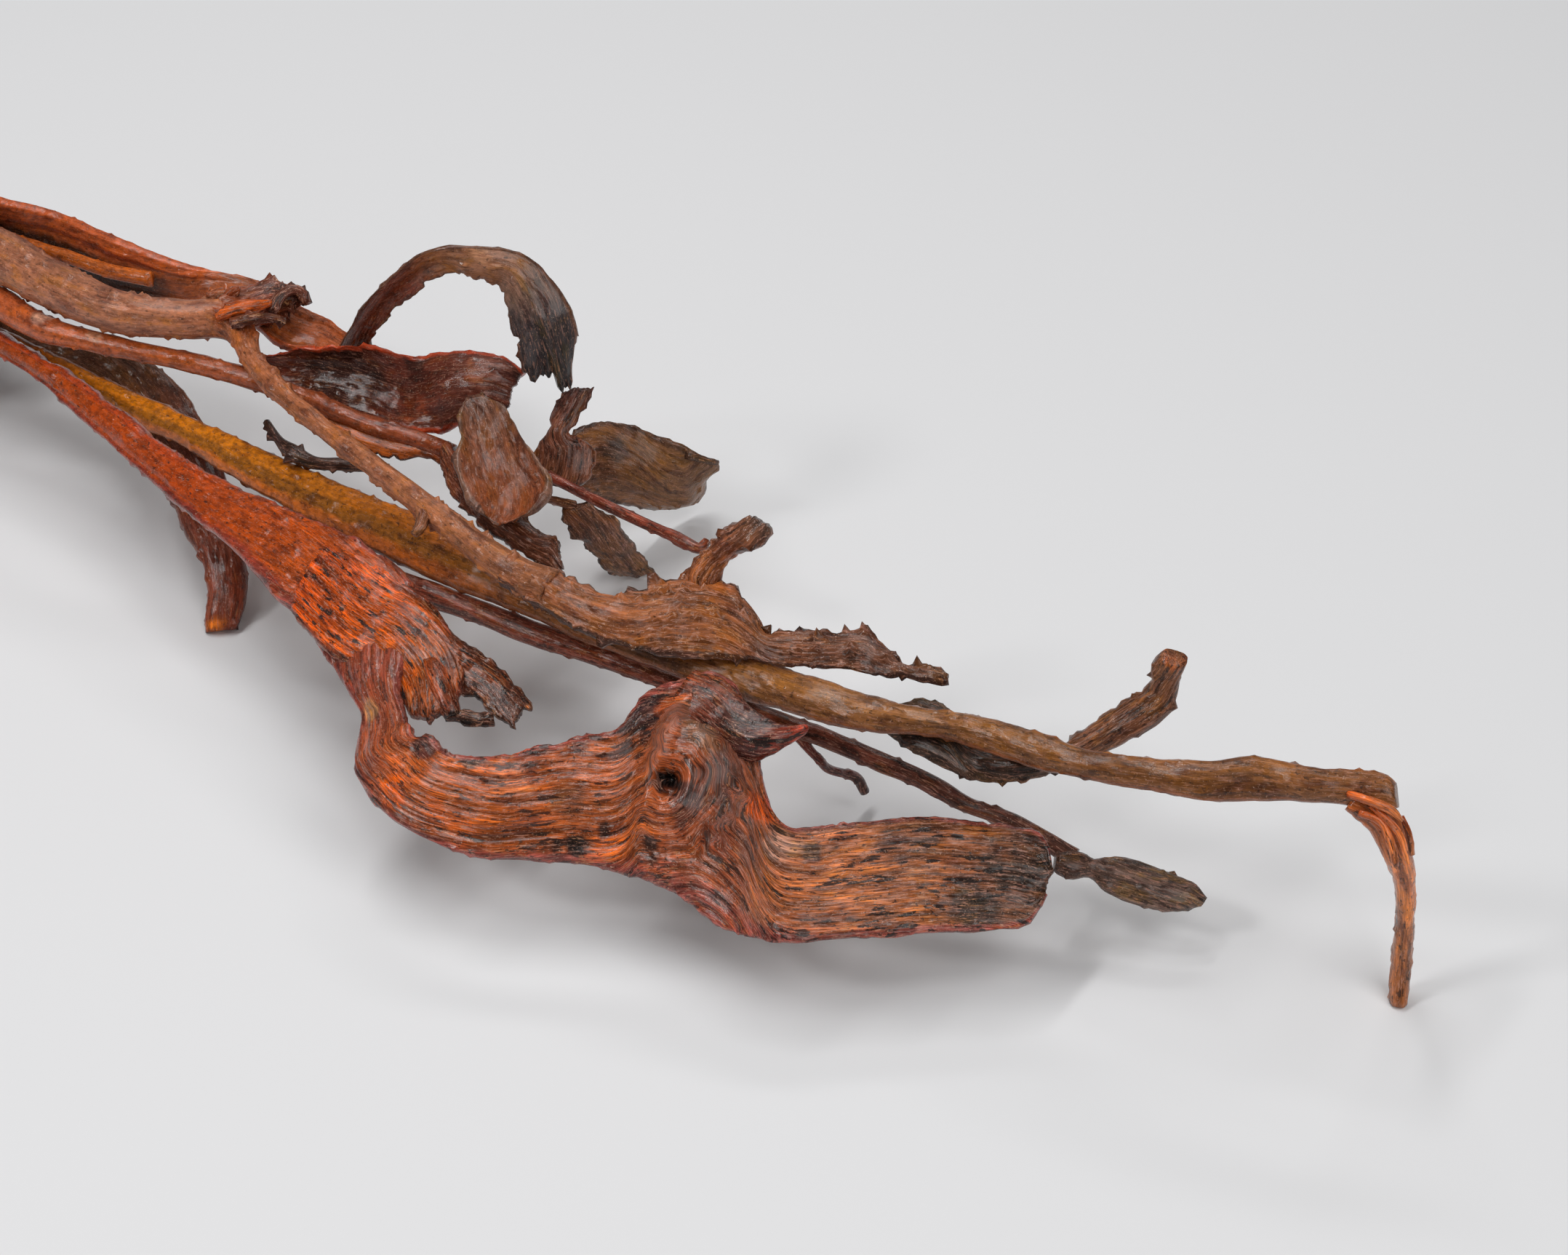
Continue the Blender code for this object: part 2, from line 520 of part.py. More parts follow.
def crown():
    """The stump: lumpy, cut off at its back, and flat where it lies. Each strand has a socket in it."""
    shape = rod(CROWN, sides=CROWN_SIDES)
    turn = 2 * np.pi * np.arange(CROWN_SIDES) / CROWN_SIDES
    along = np.arange(len(shape))[:, None]
    lump = 1 + 0.05 * np.sin(3 * turn + 0.7 * along) + 0.04 * np.sin(5 * turn - 1.1 * along)
    middle = shape.mean(1, keepdims=True)
    shape = middle + (shape - middle) * lump[..., None]
    shape[..., 2] = np.maximum(shape[..., 2], 0)
    body = loft("crown", shape, "crown_bark")
    sockets = {
        "arch": blade(ARCH_CHANNEL[:4], CLEARANCE),
        "inner": rod(INNER_STUB[:3], CLEARANCE),
        "fan": rod(FAN_STALK[:4], CLEARANCE),
        "leafy": rod(LEAFY_STALK[:4], CLEARANCE),
        "footed": blade(FOOTED_STRAND[:4], CLEARANCE),
        "strap": blade(STRAP_STALK[:4], CLEARANCE),
        "prop": blade(PROP_STRAND[:4], CLEARANCE),
    }
    for name, shape in sockets.items():
        boolean(body, loft(f"crown.socket_{name}", shape, "crown_bark"), "DIFFERENCE")


def strands():
    grown("arching_strand", "russet_gloss", blade(ARCH_CHANNEL), blade(ARCH_LEAF))
    grown("inner_stub", "russet_gloss", rod(INNER_STUB))
    grown(
        "fan_strand", "bark_brown",
        rod(FAN_STALK), rod(FAN_KNOT), blade(FAN_BLADE), blade(FAN_ANTLER),
    )
    grown(
        "leafy_strand", "russet_gloss",
        rod(LEAFY_STALK), blade(CUP_LEAF), blade(UNDER_BLADE), blade(TAIL_BLADE),
        solver="MANIFOLD",  # EXACT loses the stalk here
    )
    grown("footed_strand", "amber_gloss", blade(FOOTED_STRAND), stood_on_floor(blade(FOOT_LEG)))
    grown("hooked_strand", "dark_blade", blade(HOOKED_STRAND))
    grown("twig_strand", "red_bark", rod(TWIG_STALK), blade(OVAL_TIP), rod(TWIGLET))
    grown(
        "strap_strand", "orange_gloss",
        blade(STRAP_STALK), blade(STRAP_LOBE), blade(STRAP_FLAP), blade(STRAP_FRINGE),
        rod(STRAP_CURL), blade(STRAP_HORN),
    )
    grown("prop_strand", "red_bark", stood_on_floor(blade(PROP_STRAND)))


def leaves():
    grown("front_leaf", "leaf_brown", blade(FRONT_LEAF))
    grown("flag_leaf", "dark_blade", blade(FLAG_LEAF))
    grown("back_leaf", "leaf_brown", blade(BACK_LEAF))
    grown("lower_leaf", "leaf_brown", blade(LOWER_LEAF))
    grown("red_twig", "red_bark", rod(RED_TWIG))
    grown("dark_twig", "dark_blade", rod(DARK_TWIG))


for old in list(bpy.data.objects):
    bpy.data.objects.remove(old)
crown()
strands()
leaves()
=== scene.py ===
"""The looks of the dry root: every strand and leaf as a fine fibrous mesh with a varnished skin.

Stations are in millimetres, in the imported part's own frame, and repeat the ones its solids were
made from: a rod station is its centre and radius, and a blade station is its far edge, its near
edge, how far its middle stands up between them, and its thickness there.
"""

import bpy
import numpy as np
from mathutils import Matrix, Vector


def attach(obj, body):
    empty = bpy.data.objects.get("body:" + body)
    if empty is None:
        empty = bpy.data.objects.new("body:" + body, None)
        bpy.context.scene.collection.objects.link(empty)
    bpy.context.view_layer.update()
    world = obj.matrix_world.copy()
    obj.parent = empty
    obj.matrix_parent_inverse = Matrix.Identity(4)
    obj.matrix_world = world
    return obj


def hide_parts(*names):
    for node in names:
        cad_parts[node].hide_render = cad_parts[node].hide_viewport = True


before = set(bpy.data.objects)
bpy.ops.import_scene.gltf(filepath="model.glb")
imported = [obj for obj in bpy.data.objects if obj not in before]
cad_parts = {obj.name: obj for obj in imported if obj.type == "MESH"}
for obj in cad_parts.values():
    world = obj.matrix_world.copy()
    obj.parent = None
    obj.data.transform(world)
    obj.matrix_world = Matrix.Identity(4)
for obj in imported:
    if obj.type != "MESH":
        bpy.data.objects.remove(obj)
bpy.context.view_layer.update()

MM = 0.001
ROW_STEP = 0.9  # mm from one ring to the next
RING_STEP = 0.34  # mm between points round a ring
CURVE_STEPS = 16  # points between two stations, before they are spaced evenly
FEWEST_ROWS = 6
SIDES_PER_HALF = (12, 130)  # the fewest and the most points round half a ring
FLAT_GIRTH = 4.3  # the way round a flat section, in half widths
EDGE_REACH = 0.12  # how much of the half width belongs to the edge
GROOVE_SOFT = 0.15  # how gently a groove begins and ends, in half widths
BAND_SOFT, BAND_END_SOFT = 0.12, 0.04  # the same for a colour band, across and along
FRACTAL_PEAK = 1.75  # three octaves, each half as strong as the last

# Sizes of the relief in mm: fibres along and across the grain, then lumps, warts and the crumbs on a wart.
COARSE_FIBRE, FINE_FIBRE, SHARP_FIBRE = (15, 1.3), (9, 0.65), (20, 1.0)
LUMP_SIZE, WART_SIZE, CRUMB_SIZE = 7, 1.4, 0.6

# The strands and leaves, each from its root end to its tip.
CROWN = [
    (-152, 7, 37.5, 15.5), (-159, 8, 37, 20), (-169, 10, 32, 22.5), (-183, 13, 25, 22),
    (-198, 15, 19, 20.5), (-211, 17, 16.5, 18), (-220, 18, 16.5, 13),
]
ARCH_CHANNEL = [
    ((-181, 23, 49), (-194.5, 30.5, 29), 0.6, 3.6), ((-161, 22, 51.5), (-175.5, 31, 31), 0.6, 3.6),
    ((-146, 21, 53.5), (-160, 30.5, 31), 0.6, 3.6), ((-131.5, 25, 52.5), (-137, 26.5, 35), 0.8, 3.6),
    ((-113, 25.5, 51.5), (-116.5, 25, 36), 0.8, 3.6), ((-98, 28.5, 49), (-100, 27.5, 38), 0.8, 3.6),
    ((-89.5, 33, 47), (-88, 27.5, 41.5), 0.6, 3.4), ((-79, 36, 45.5), (-73, 23.5, 44), 0.8, 3),
    ((-65.5, 33, 46), (-60.5, 20.5, 44), 0.6, 2.8), ((-56.5, 32, 46.5), (-54.5, 23.5, 44), 0.4, 2.4),
    ((-48, 29, 47), (-46.5, 23.5, 45), 0.3, 2.2),
]
ARCH_LEAF = [
    ((-47, 22, 46), (-42.5, 28, 44), -1, 2.2), ((-43, 23, 54), (-39, 27.5, 52), -1.5, 2),
    ((-36.5, 23.5, 64.5), (-32, 29, 61), -1.8, 1.8), ((-28, 28, 74.5), (-24, 31, 69.5), -1.5, 1.8),
    ((-22, 30.5, 78.5), (-20, 33, 72), -0.5, 2), ((-14.5, 35, 79.5), (-15, 33.5, 71.5), 1, 2),
    ((-7, 40.5, 77), (-10, 36, 70), 1.5, 1.8), ((0, 42, 72.5), (-7, 33.5, 66), 2, 1.8),
    ((5.5, 41, 66.5), (-5, 33, 61), 2.5, 1.8), ((8, 39.5, 59), (-1.5, 30.5, 55), 2.2, 1.8),
    ((8, 36.5, 52.5), (2, 31.5, 50), 0.8, 1.6),
]
INNER_STUB = [
    (-180, 20.5, 41, 1.4), (-147.5, 20.5, 43.5, 1.5), (-128.5, 20.5, 45, 1.5), (-113.5, 21, 45.5, 1.7),
    (-102, 23, 46, 1.7),
]
FAN_STALK = [
    (-170.5, 12, 45, 4.8), (-149, 9, 48.5, 5.6), (-133.5, 7.5, 50, 6), (-113, 5, 50, 5.4),
    (-95.5, 5, 50, 4.9), (-81, 10.5, 50, 4.4), (-74, 15, 50, 4.2), (-67, 14.5, 49, 3.2),
    (-58, 8, 48.5, 2.4), (-42, 1.5, 48, 2.2), (-25, -3, 47.5, 2.2), (-3.5, -8.5, 47, 2.6),
    (16.5, -13.5, 46, 3), (30, -16, 45, 3.5), (41, -16, 44.5, 4.4),
]
FAN_KNOT = [
    (-77.5, 16, 50, 3.9), (-72, 20.5, 50.5, 4.7), (-68.5, 25.5, 51, 4.1), (-64, 29, 52, 2.4),
    (-61, 29.5, 53, 1.5),
]
FAN_BLADE = [
    ((29, -13, 46), (30, -19.5, 44), 0.5, 6), ((37, -13, 46), (41, -21, 43), 1, 5),
    ((45.5, -12.5, 46), (51.5, -21, 42), 1.5, 4.5), ((55, -10.5, 46), (60.5, -20.5, 41.5), 2, 3.8),
    ((60, -3.5, 47), (68, -17.5, 41), 2, 3), ((65, 1, 47.5), (74.5, -13.5, 40.5), 2, 2.6),
    ((72, 2.5, 47), (80.5, -10.5, 40.5), 1.5, 2.4), ((79, 0, 45.5), (85, -9, 41), 1, 2.4),
    ((83.5, -2, 44.5), (89, -8.5, 41.5), 0.6, 2.4), ((90, -0.5, 44.5), (94, -6.5, 42), 0.6, 2.6),
    ((95, 3, 45), (99.5, -4.5, 42.5), 0.6, 2.6), ((100, 7, 45.5), (106, -2, 42.5), 0.6, 2.6),
    ((105.5, 5.5, 45), (109.5, -1, 43), 0.4, 2.4), ((112, 4, 44.5), (113.5, 1, 43.5), 0.2, 2.2),
    ((118.5, 5.5, 44.5), (119.5, 2, 44), 0.1, 2), ((122, 5, 44.5), (122.5, 3.5, 44), 0, 1.6),
]
FAN_ANTLER = [
    ((61.5, -3.5, 46), (71, 2.5, 45), 0.5, 2.6), ((62.5, -0.5, 48), (69.5, 2, 47), 1, 2.6),
    ((64, 2, 52), (69.5, 4.5, 50.5), 1, 2.8), ((67, 4.5, 56), (72.5, 5.5, 54), 1, 3),
    ((71, 6.5, 60), (77, 5.5, 57), 1, 3.2), ((74.5, 8.5, 62.5), (78, 7.5, 60.5), 0.5, 2.6),
]
LEAFY_STALK = [
    (-167.5, 7, 38, 2.9), (-144.5, 2.5, 40.5, 3.4), (-128.5, 1, 42, 3.8), (-120, -0.5, 42, 3.3),
    (-111.5, -1, 42, 3), (-102, 1, 42, 2.5), (-89, 4, 42, 2.3), (-77.5, 7.5, 41.5, 2.3),
    (-63, 10.5, 41, 2.3), (-48, 12.5, 40, 2.3), (-32.5, 13.5, 39, 2.1), (-19, 16, 38, 1.9),
    (-11, 17.5, 37, 1.7),
]
CUP_LEAF = [
    ((-66.5, 13.5, 43.5), (-63.5, 12, 41), -0.3, 1.8), ((-59, 14.5, 47), (-54, 11, 41.5), -2, 1.8),
    ((-51, 17.5, 50), (-47, 12.5, 41), -4, 1.8), ((-42.5, 21.5, 51.5), (-36.5, 13.5, 40.5), -5, 1.8),
    ((-34.5, 25.5, 51.5), (-26, 14.5, 40), -4, 1.8), ((-28, 27.5, 50.5), (-20.5, 17, 39), -0.5, 1.8),
    ((-23.5, 31, 51), (-16.5, 21, 38.5), 3, 2), ((-17.5, 34.5, 52), (-13.5, 24, 39.5), 5, 2),
    ((-10.5, 37, 51.5), (-9, 26.5, 41), 5, 2), ((-5, 36.5, 49), (-4.5, 29, 43), 2, 1.8),
]
UNDER_BLADE = [
    ((-43.5, 12, 38.5), (-41, 10, 36.5), 0, 1.6), ((-36.5, 13, 38), (-33.5, 9, 35), 0.4, 1.6),
    ((-27, 14, 37.5), (-25.5, 10.5, 34.5), 0.4, 1.6), ((-18.5, 15.5, 37), (-18, 13.5, 35), 0.4, 1.6),
    ((-11.5, 17, 36), (-10, 15, 34.5), 0, 1.6),
]
TAIL_BLADE = [
    ((-12.5, 18.5, 38.5), (-12, 14.5, 36), 0.5, 3), ((-4, 15, 38), (-4.5, 7.5, 34.5), 1, 2.2),
    ((10, 9.5, 37.5), (5.5, 3.5, 34), 1.5, 2), ((21, 6.5, 36.5), (16.5, 1.5, 33), 1.5, 1.8),
    ((24, 8, 35), (25, 1.5, 31.5), 1, 1.8), ((27, 5, 33.5), (30, 1.5, 31), 0.3, 1.6),
]
FRONT_LEAF = [
    ((-8.5, 20, 50.5), (-6, 23, 51), 0, 1.8), ((-7.5, 16.5, 49.5), (1.5, 21.5, 51), 1, 2),
    ((-3.5, 11, 48), (9.5, 16.5, 50), 2, 2), ((0, 5, 45.5), (16.5, 13.5, 48), 2.5, 2),
    ((5.5, 1, 43), (21, 10.5, 45.5), 2.5, 2), ((10.5, -0.5, 41.5), (21.5, 5.5, 43.5), 1.5, 2),
    ((15.5, -2, 40.5), (18.5, 0.5, 41), 0, 1.6),
]
FLAG_LEAF = [
    ((5.5, 24.5, 31), (14, 27.5, 31), 1, 1.8), ((3.5, 26, 34), (16.5, 31, 34), 1.5, 1.8),
    ((3, 27.5, 37.5), (13.5, 35, 38), 1.5, 1.8), ((4, 31.5, 40.5), (10, 32, 41), 0.8, 1.6),
    ((3, 35, 43.5), (10, 36, 43.5), 0.5, 1.5), ((3, 38, 46), (9, 42.5, 47), 0, 1.3),
]
BACK_LEAF = [
    ((1.5, 40, 30), (9, 33.5, 25), 1, 2), ((2, 48.5, 31), (11, 41, 18), 3, 2),
    ((7.5, 53, 31), (13, 51, 10), 5, 2), ((15, 56, 29), (15.5, 61.5, 4.5), 6, 2),
    ((21, 59, 26), (18.5, 67.5, 5), 5, 1.8), ((24.5, 61, 23), (22.5, 66.5, 13), 2, 1.6),
    ((26.5, 64, 20.5), (26.5, 65, 18), 0, 1.4),
]
LOWER_LEAF = [
    ((16.5, 29.5, 27), (11.5, 24, 27), 0.5, 1.8), ((19.5, 34, 21), (14.5, 24, 21), 1, 1.8),
    ((21, 36.5, 14.5), (15, 28.5, 14.5), 1.5, 1.8), ((22.5, 40, 8), (16.5, 31.5, 8), 1, 1.8),
    ((24, 43, 2), (17, 36.5, 2), 0, 1.8),
]
RED_TWIG = [
    (11.5, 21.5, 37.5, 1.3), (20, 22, 36, 1.2), (32, 24, 33, 1.2), (42.5, 26, 30.5, 1.2),
    (47.5, 26, 30, 1.2), (48, 28.5, 30.5, 0.9),
]
DARK_TWIG = [
    (-53, 4.5, 36.5, 1), (-47, 1.5, 35.5, 1.4), (-42.5, 0.5, 35, 1.7), (-37, 0.5, 34.5, 1.7),
    (-32, 3.5, 34, 1.6), (-27, 7, 33.5, 1.3), (-22.5, 9, 33.5, 1),
]
FOOTED_STRAND = [
    ((-174, 11.5, 29), (-172.5, 9, 26), 0.5, 3.5), ((-151.5, 7, 30), (-150.5, 5.5, 26.5), 0.5, 3.5),
    ((-136.5, 6, 29.5), (-135.5, 4, 25.5), 0.6, 3.5), ((-113, 5.5, 29), (-112, 2.5, 25), 0.8, 3.4),
    ((-93.5, 4.5, 29), (-94.5, 0, 24.5), 0.8, 3.4), ((-75.5, 3.5, 30), (-76, -1.5, 25), 0.8, 3.4),
    ((-61, 2.5, 30.5), (-61, -4, 25.5), 0.8, 3.4), ((-41.5, 1, 31.5), (-42, -7, 26), 1, 3.6),
    ((-24, 0, 32.5), (-23.5, -9, 27), 1, 3.8), ((-7.5, -0.5, 33.5), (-5.5, -11, 28), 1, 4),
    ((9, -2, 34.5), (12, -13, 30), 1, 4), ((25.5, -3.5, 35.5), (29, -13, 31), 1, 4),
    ((41, -4, 36), (44.5, -13.5, 31.5), 1, 4), ((55.5, -4.5, 36.5), (58.5, -13, 32), 1, 4),
    ((70, -4, 37), (73, -13, 33), 1, 4), ((83, -4, 38), (86.5, -13, 34), 1, 4),
    ((92.5, -5, 39), (95, -12.5, 35), 1, 4), ((100.5, -5, 40), (103.5, -12, 36), 1, 4),
    ((110.5, -4.5, 40.5), (113, -10, 37), 1, 3.8), ((122.5, -2.5, 41.5), (124.5, -6.5, 38.5), 1, 3.6),
    ((133.5, -1, 43.5), (135.5, -6.5, 40.5), 1, 3.6), ((145, -1, 45), (147, -6.5, 41.5), 1, 3.8),
    ((156.5, -1, 46.5), (157.5, -5.5, 43.5), 1, 3.8), ((167, 2, 48), (169, -3.5, 44.5), 1, 4),
    ((176.5, 4.5, 49.5), (179, -1, 45.5), 1, 4), ((185, 9.5, 51), (188.5, 3.5, 46.5), 1, 4),
    ((194.5, 11.5, 52), (196.5, 7, 47.5), 1, 4), ((202, 14.5, 52.5), (204, 10, 48), 1, 4),
    ((207.5, 16.5, 52.5), (210, 11.5, 48.5), 1, 3.6), ((210, 15.5, 52), (212, 13, 49.5), 0.5, 3),
]
FOOT_LEG = [
    ((204, 11.5, 49.5), (203.5, 9, 47.5), 0.3, 3), ((207.5, 12.5, 49), (205.5, 9, 46.5), 0.3, 3.4),
    ((211.5, 14, 47), (208.5, 10, 44), 0.3, 3.6), ((215, 14, 41), (211.5, 11, 38), 0.4, 3.8),
    ((216.5, 16.5, 31), (213, 14, 30), 0.5, 3.8), ((217.5, 17.5, 19.5), (214.5, 15.5, 19.5), 0.5, 3.8),
    ((218.5, 18, 8), (215, 15.5, 8), 0.5, 3.8), ((220, 15, 0), (217, 13, 0), 0.5, 3.6),
]
HOOKED_STRAND = [
    ((109.5, -1.5, 34), (112, -4.5, 32.5), 0, 2.4), ((113, 1.5, 36), (117.5, -5.5, 32), 1, 2.6),
    ((120.5, 4.5, 37), (128, -7, 32), 1, 2.6), ((131.5, -1, 36), (135.5, -7, 32.5), 1, 2.6),
    ((140.5, -1, 37.5), (143.5, -4, 34.5), 1, 3), ((146.5, 3.5, 39.5), (149.5, 1, 37), 0.8, 3.4),
    ((150, 7.5, 42.5), (155, 5, 40.5), 0.6, 4), ((154, 12, 46.5), (160.5, 8.5, 45), 0.5, 4.4),
    ((158, 16, 51), (165, 13.5, 50), 0.5, 4.6), ((159, 16, 56), (164, 18, 55), 0.5, 4.6),
    ((160.5, 16.5, 60), (165, 18.5, 59), 0.4, 4.2),
]
TWIG_STALK = [
    (-61, -6, 21.5, 1.5), (-46, -12, 23.5, 1.8), (-30, -16.5, 25, 1.9), (-11, -15, 26, 2.2),
    (0.5, -14.5, 26.5, 2.6), (17.5, -13, 26.5, 2.6), (32, -12.5, 26.5, 2.6), (52.5, -10.5, 26.5, 2.2),
    (70.5, -8.5, 26, 2.1), (86, -7, 25.5, 2.1), (101.5, -5, 24.5, 1.9), (119.5, -2.5, 22, 1.9),
    (129.5, -2, 20, 1.7), (137.5, 0.5, 18, 1.7), (147, 1.5, 16, 1.7), (153, 1.5, 14.5, 2),
]
OVAL_TIP = [
    ((150, -0.5, 16), (151.5, -4, 14.5), 0.5, 3.2), ((153.5, 2.5, 15.5), (155, -3, 13), 0.5, 4),
    ((156.5, 3.5, 14.5), (157.5, 0, 12.5), 0.5, 3), ((161, 7, 14.5), (162.5, 0, 10.5), 1, 2.4),
    ((169, 9.5, 13.5), (170, 1.5, 9.5), 1.2, 2.4), ((174.5, 10.5, 12), (175, 4, 9), 1, 2.2),
    ((178.5, 9.5, 10.5), (178, 7.5, 9), 0.3, 2),
]
TWIGLET = [
    (93, -7, 25, 1.2), (97.5, -5.5, 19, 1), (99, -3, 14.5, 1), (101.5, 3, 9, 1), (103, 4.5, 4.5, 0.9),
]
STRAP_STALK = [
    ((-162.5, 1.5, 36), (-160, -2, 32), 1, 5.5), ((-143, -0.5, 36), (-140.5, -4, 31.5), 1, 5.5),
    ((-128.5, -1, 36), (-126.5, -4, 31.5), 1, 5.5), ((-111, -2.5, 35.5), (-112.5, -6, 31), 1.2, 5.2),
    ((-90, -6.5, 35), (-92.5, -12, 30.5), 1.4, 5), ((-67, -12.5, 35), (-71.5, -18, 30), 1.6, 5),
    ((-50, -15, 35), (-55, -23, 29.5), 1.8, 4.8), ((-37.5, -15.5, 35), (-42, -26, 29), 2, 4.6),
    ((-22.5, -16, 35.5), (-29, -30, 28.5), 2.2, 4.4), ((-8, -17.5, 36), (-19, -34, 28), 2.5, 4),
    ((6, -20, 35.5), (-9.5, -36.5, 27), 2.5, 3.6), ((15, -28.5, 34), (-1.5, -40.5, 26), 2.2, 3.2),
    ((20, -39, 32), (6, -44, 25), 1.8, 3), ((23, -45, 30.5), (12.5, -47, 24.5), 1.5, 3),
    ((27, -48.5, 30), (17, -50, 24), 1.2, 3), ((30.5, -51, 30), (20.5, -55.5, 23), 1.2, 3),
    ((34, -53.5, 30), (24, -61, 22), 1.6, 3), ((37.5, -52.5, 30.5), (30.5, -65, 21), 2, 3),
    ((43.5, -54, 30.5), (39.5, -67.5, 20), 2.4, 2.8), ((49, -52, 31), (49, -67, 19), 2.6, 2.6),
    ((54.5, -49, 31.5), (58, -65.5, 18.5), 2.8, 2.6), ((59, -45, 33), (65.5, -61, 18.5), 3, 2.6),
    ((64, -40.5, 34.5), (73, -57, 18.5), 3, 2.6), ((70.5, -36.5, 36.5), (81.5, -54.5, 18.5), 3, 2.6),
    ((71.5, -28.5, 40), (87.5, -53, 18.5), 4, 2.6), ((76, -23.5, 42.5), (94.5, -52.5, 18.5), 5, 2.6),
    ((81, -17, 42.5), (102.5, -54, 18), 5, 2.6), ((88.5, -17.5, 39), (109.5, -55, 18), 4, 2.6),
    ((96, -24.5, 33), (113.5, -54, 18), 3, 2.6), ((104.5, -32, 28), (118, -52.5, 18), 2, 2.4),
    ((111, -30.5, 26.5), (122.5, -50, 18), 1.6, 2.4), ((116.5, -26, 26.5), (130, -43, 17.5), 1.5, 2.4),
    ((121.5, -21.5, 27), (136, -39, 17.5), 1.5, 2.4), ((127.5, -17, 27), (141.5, -34, 17.5), 1.5, 2.4),
    ((138.5, -10.5, 26.5), (147.5, -30, 17.5), 1.5, 2.4), ((146, -7, 26), (152.5, -26, 17.5), 1.4, 2.4),
    ((151, -7.5, 25), (156, -22, 18), 1, 2.2), ((155, -11, 23.5), (156.5, -15.5, 20.5), 0.3, 2),
]
STRAP_LOBE = [
    ((-14, -17, 36), (-13, -36, 28), 2, 3.6), ((3, -20.5, 35.5), (2, -42, 27), 2.5, 3.4),
    ((16.5, -24.5, 34.5), (11.5, -41.5, 28), 2.5, 3), ((25, -28.5, 33), (19.5, -43, 28), 2.2, 2.8),
    ((30.5, -32.5, 32), (25, -46, 27.5), 2, 2.6), ((34, -38.5, 31), (28.5, -47.5, 27), 1.6, 2.6),
    ((36, -44.5, 29.5), (32.5, -48, 27.5), 1, 2.4),
]
STRAP_FLAP = [
    ((14, -25, 33.5), (18, -36, 31), 1, 2.4), ((27, -28, 32.5), (25.5, -36.5, 30), 1.2, 2.4),
    ((33, -28, 31.5), (32, -37.5, 29), 1.4, 2.2), ((38.5, -29, 30.5), (37.5, -37.5, 28.5), 1.4, 2),
    ((44, -31, 29.5), (43, -39, 27.5), 1, 2), ((48, -34, 28.5), (47.5, -39, 27.5), 0.4, 1.8),
]
STRAP_FRINGE = [
    ((33, -44, 29.5), (35, -45.5, 28), 0.2, 2), ((37, -41.5, 29), (39, -44, 28), 0.3, 2),
    ((42.5, -38.5, 29), (44, -41, 28), 0.2, 1.8),
]
STRAP_CURL = [
    (24.5, -36.5, 32, 1.8), (29, -39.5, 31.5, 2.2), (33.5, -42.5, 30, 2.5), (36.5, -44.5, 28.5, 2),
]
STRAP_HORN = [
    ((78, -19, 42.5), (78.5, -33.5, 37), 2.5, 3), ((85, -19, 43.5), (85.5, -31.5, 35), 3, 2.8),
    ((91.5, -22, 43.5), (92, -29.5, 34.5), 2.5, 2.6), ((96.5, -23.5, 43), (98, -29, 36), 1.5, 2.4),
    ((101, -23, 42.5), (101.5, -27, 38.5), 0.8, 2.2), ((104.5, -20, 41.5), (104, -21, 40), 0, 1.6),
]
PROP_STRAND = [
    ((-185, 21, 24), (-183, 18.5, 22), 0.3, 2.6), ((-162.5, 16.5, 24), (-160.5, 12.5, 22), 0.5, 2.6),
    ((-140.5, 16, 24.5), (-138.5, 9, 22), 0.8, 2.4), ((-120, 21.5, 24.5), (-117.5, 9.5, 20.5), 1, 2.4),
    ((-102.5, 20.5, 23.5), (-101, 6, 18.5), 1, 2.6), ((-87.5, 16, 21.5), (-88.5, -1, 16.5), 1, 3),
    ((-72, 7, 19), (-77, -7, 15), 0.8, 3.6), ((-58, -4, 15.5), (-68.5, -12, 13.5), 0.6, 4.2),
    ((-49.5, -11.5, 11), (-58, -17, 10.5), 0.5, 4.6), ((-46, -15.5, 6.5), (-53, -20.5, 6), 0.3, 5.4),
    ((-44, -19.5, 3), (-50.5, -24.5, 3), 0.2, 5.4), ((-43.5, -22.5, 0), (-48.5, -27, 0), 0, 5),
]


# ---------------------------------------------------------------- noise


def lattice(x, y, z, seed):
    h = (x * 374761393 + y * 668265263 + z * 1103515245 + seed * 144665) & 0xFFFFFFFF
    h = ((h ^ (h >> 13)) * 1274126177) & 0xFFFFFFFF
    return ((h ^ (h >> 16)) & 0xFFFF) / 32767.5 - 1


def noise(points, seed=0):
    """Smooth value noise from -1 to 1, in cells of size 1."""
    cell = np.floor(points).astype(np.int64)
    f = points - cell
    f = f * f * (3 - 2 * f)
    total = 0
    for dx in (0, 1):
        for dy in (0, 1):
            for dz in (0, 1):
                weight = (
                    (f[..., 0] if dx else 1 - f[..., 0])
                    * (f[..., 1] if dy else 1 - f[..., 1])
                    * (f[..., 2] if dz else 1 - f[..., 2])
                )
                corner = lattice(cell[..., 0] + dx, cell[..., 1] + dy, cell[..., 2] + dz, seed)
                total = total + weight * corner
    return total


def fractal(points, seed=0, octaves=3):
    total, size = 0, 1.0
    for i in range(octaves):
        total = total + size * noise(points * 2**i, seed + 17 * i)
        size *= 0.5
    return total / FRACTAL_PEAK


def line_noise(along, length, seed):
    along = np.asarray(along, float)
    return fractal(np.stack([along / length, 0 * along + 0.5, 0 * along + 0.5], -1), seed)


def smoothstep(low, high, value):
    t = np.clip((value - low) / (high - low), 0, 1)
    return t * t * (3 - 2 * t)


def between(low, high, soft, value):
    """1 between two limits and 0 outside them, with soft ends."""
    return smoothstep(low - soft, low + soft, value) * (1 - smoothstep(high - soft, high + soft, value))


def unit(vectors):
    return vectors / np.maximum(np.linalg.norm(vectors, axis=-1, keepdims=True), 1e-9)


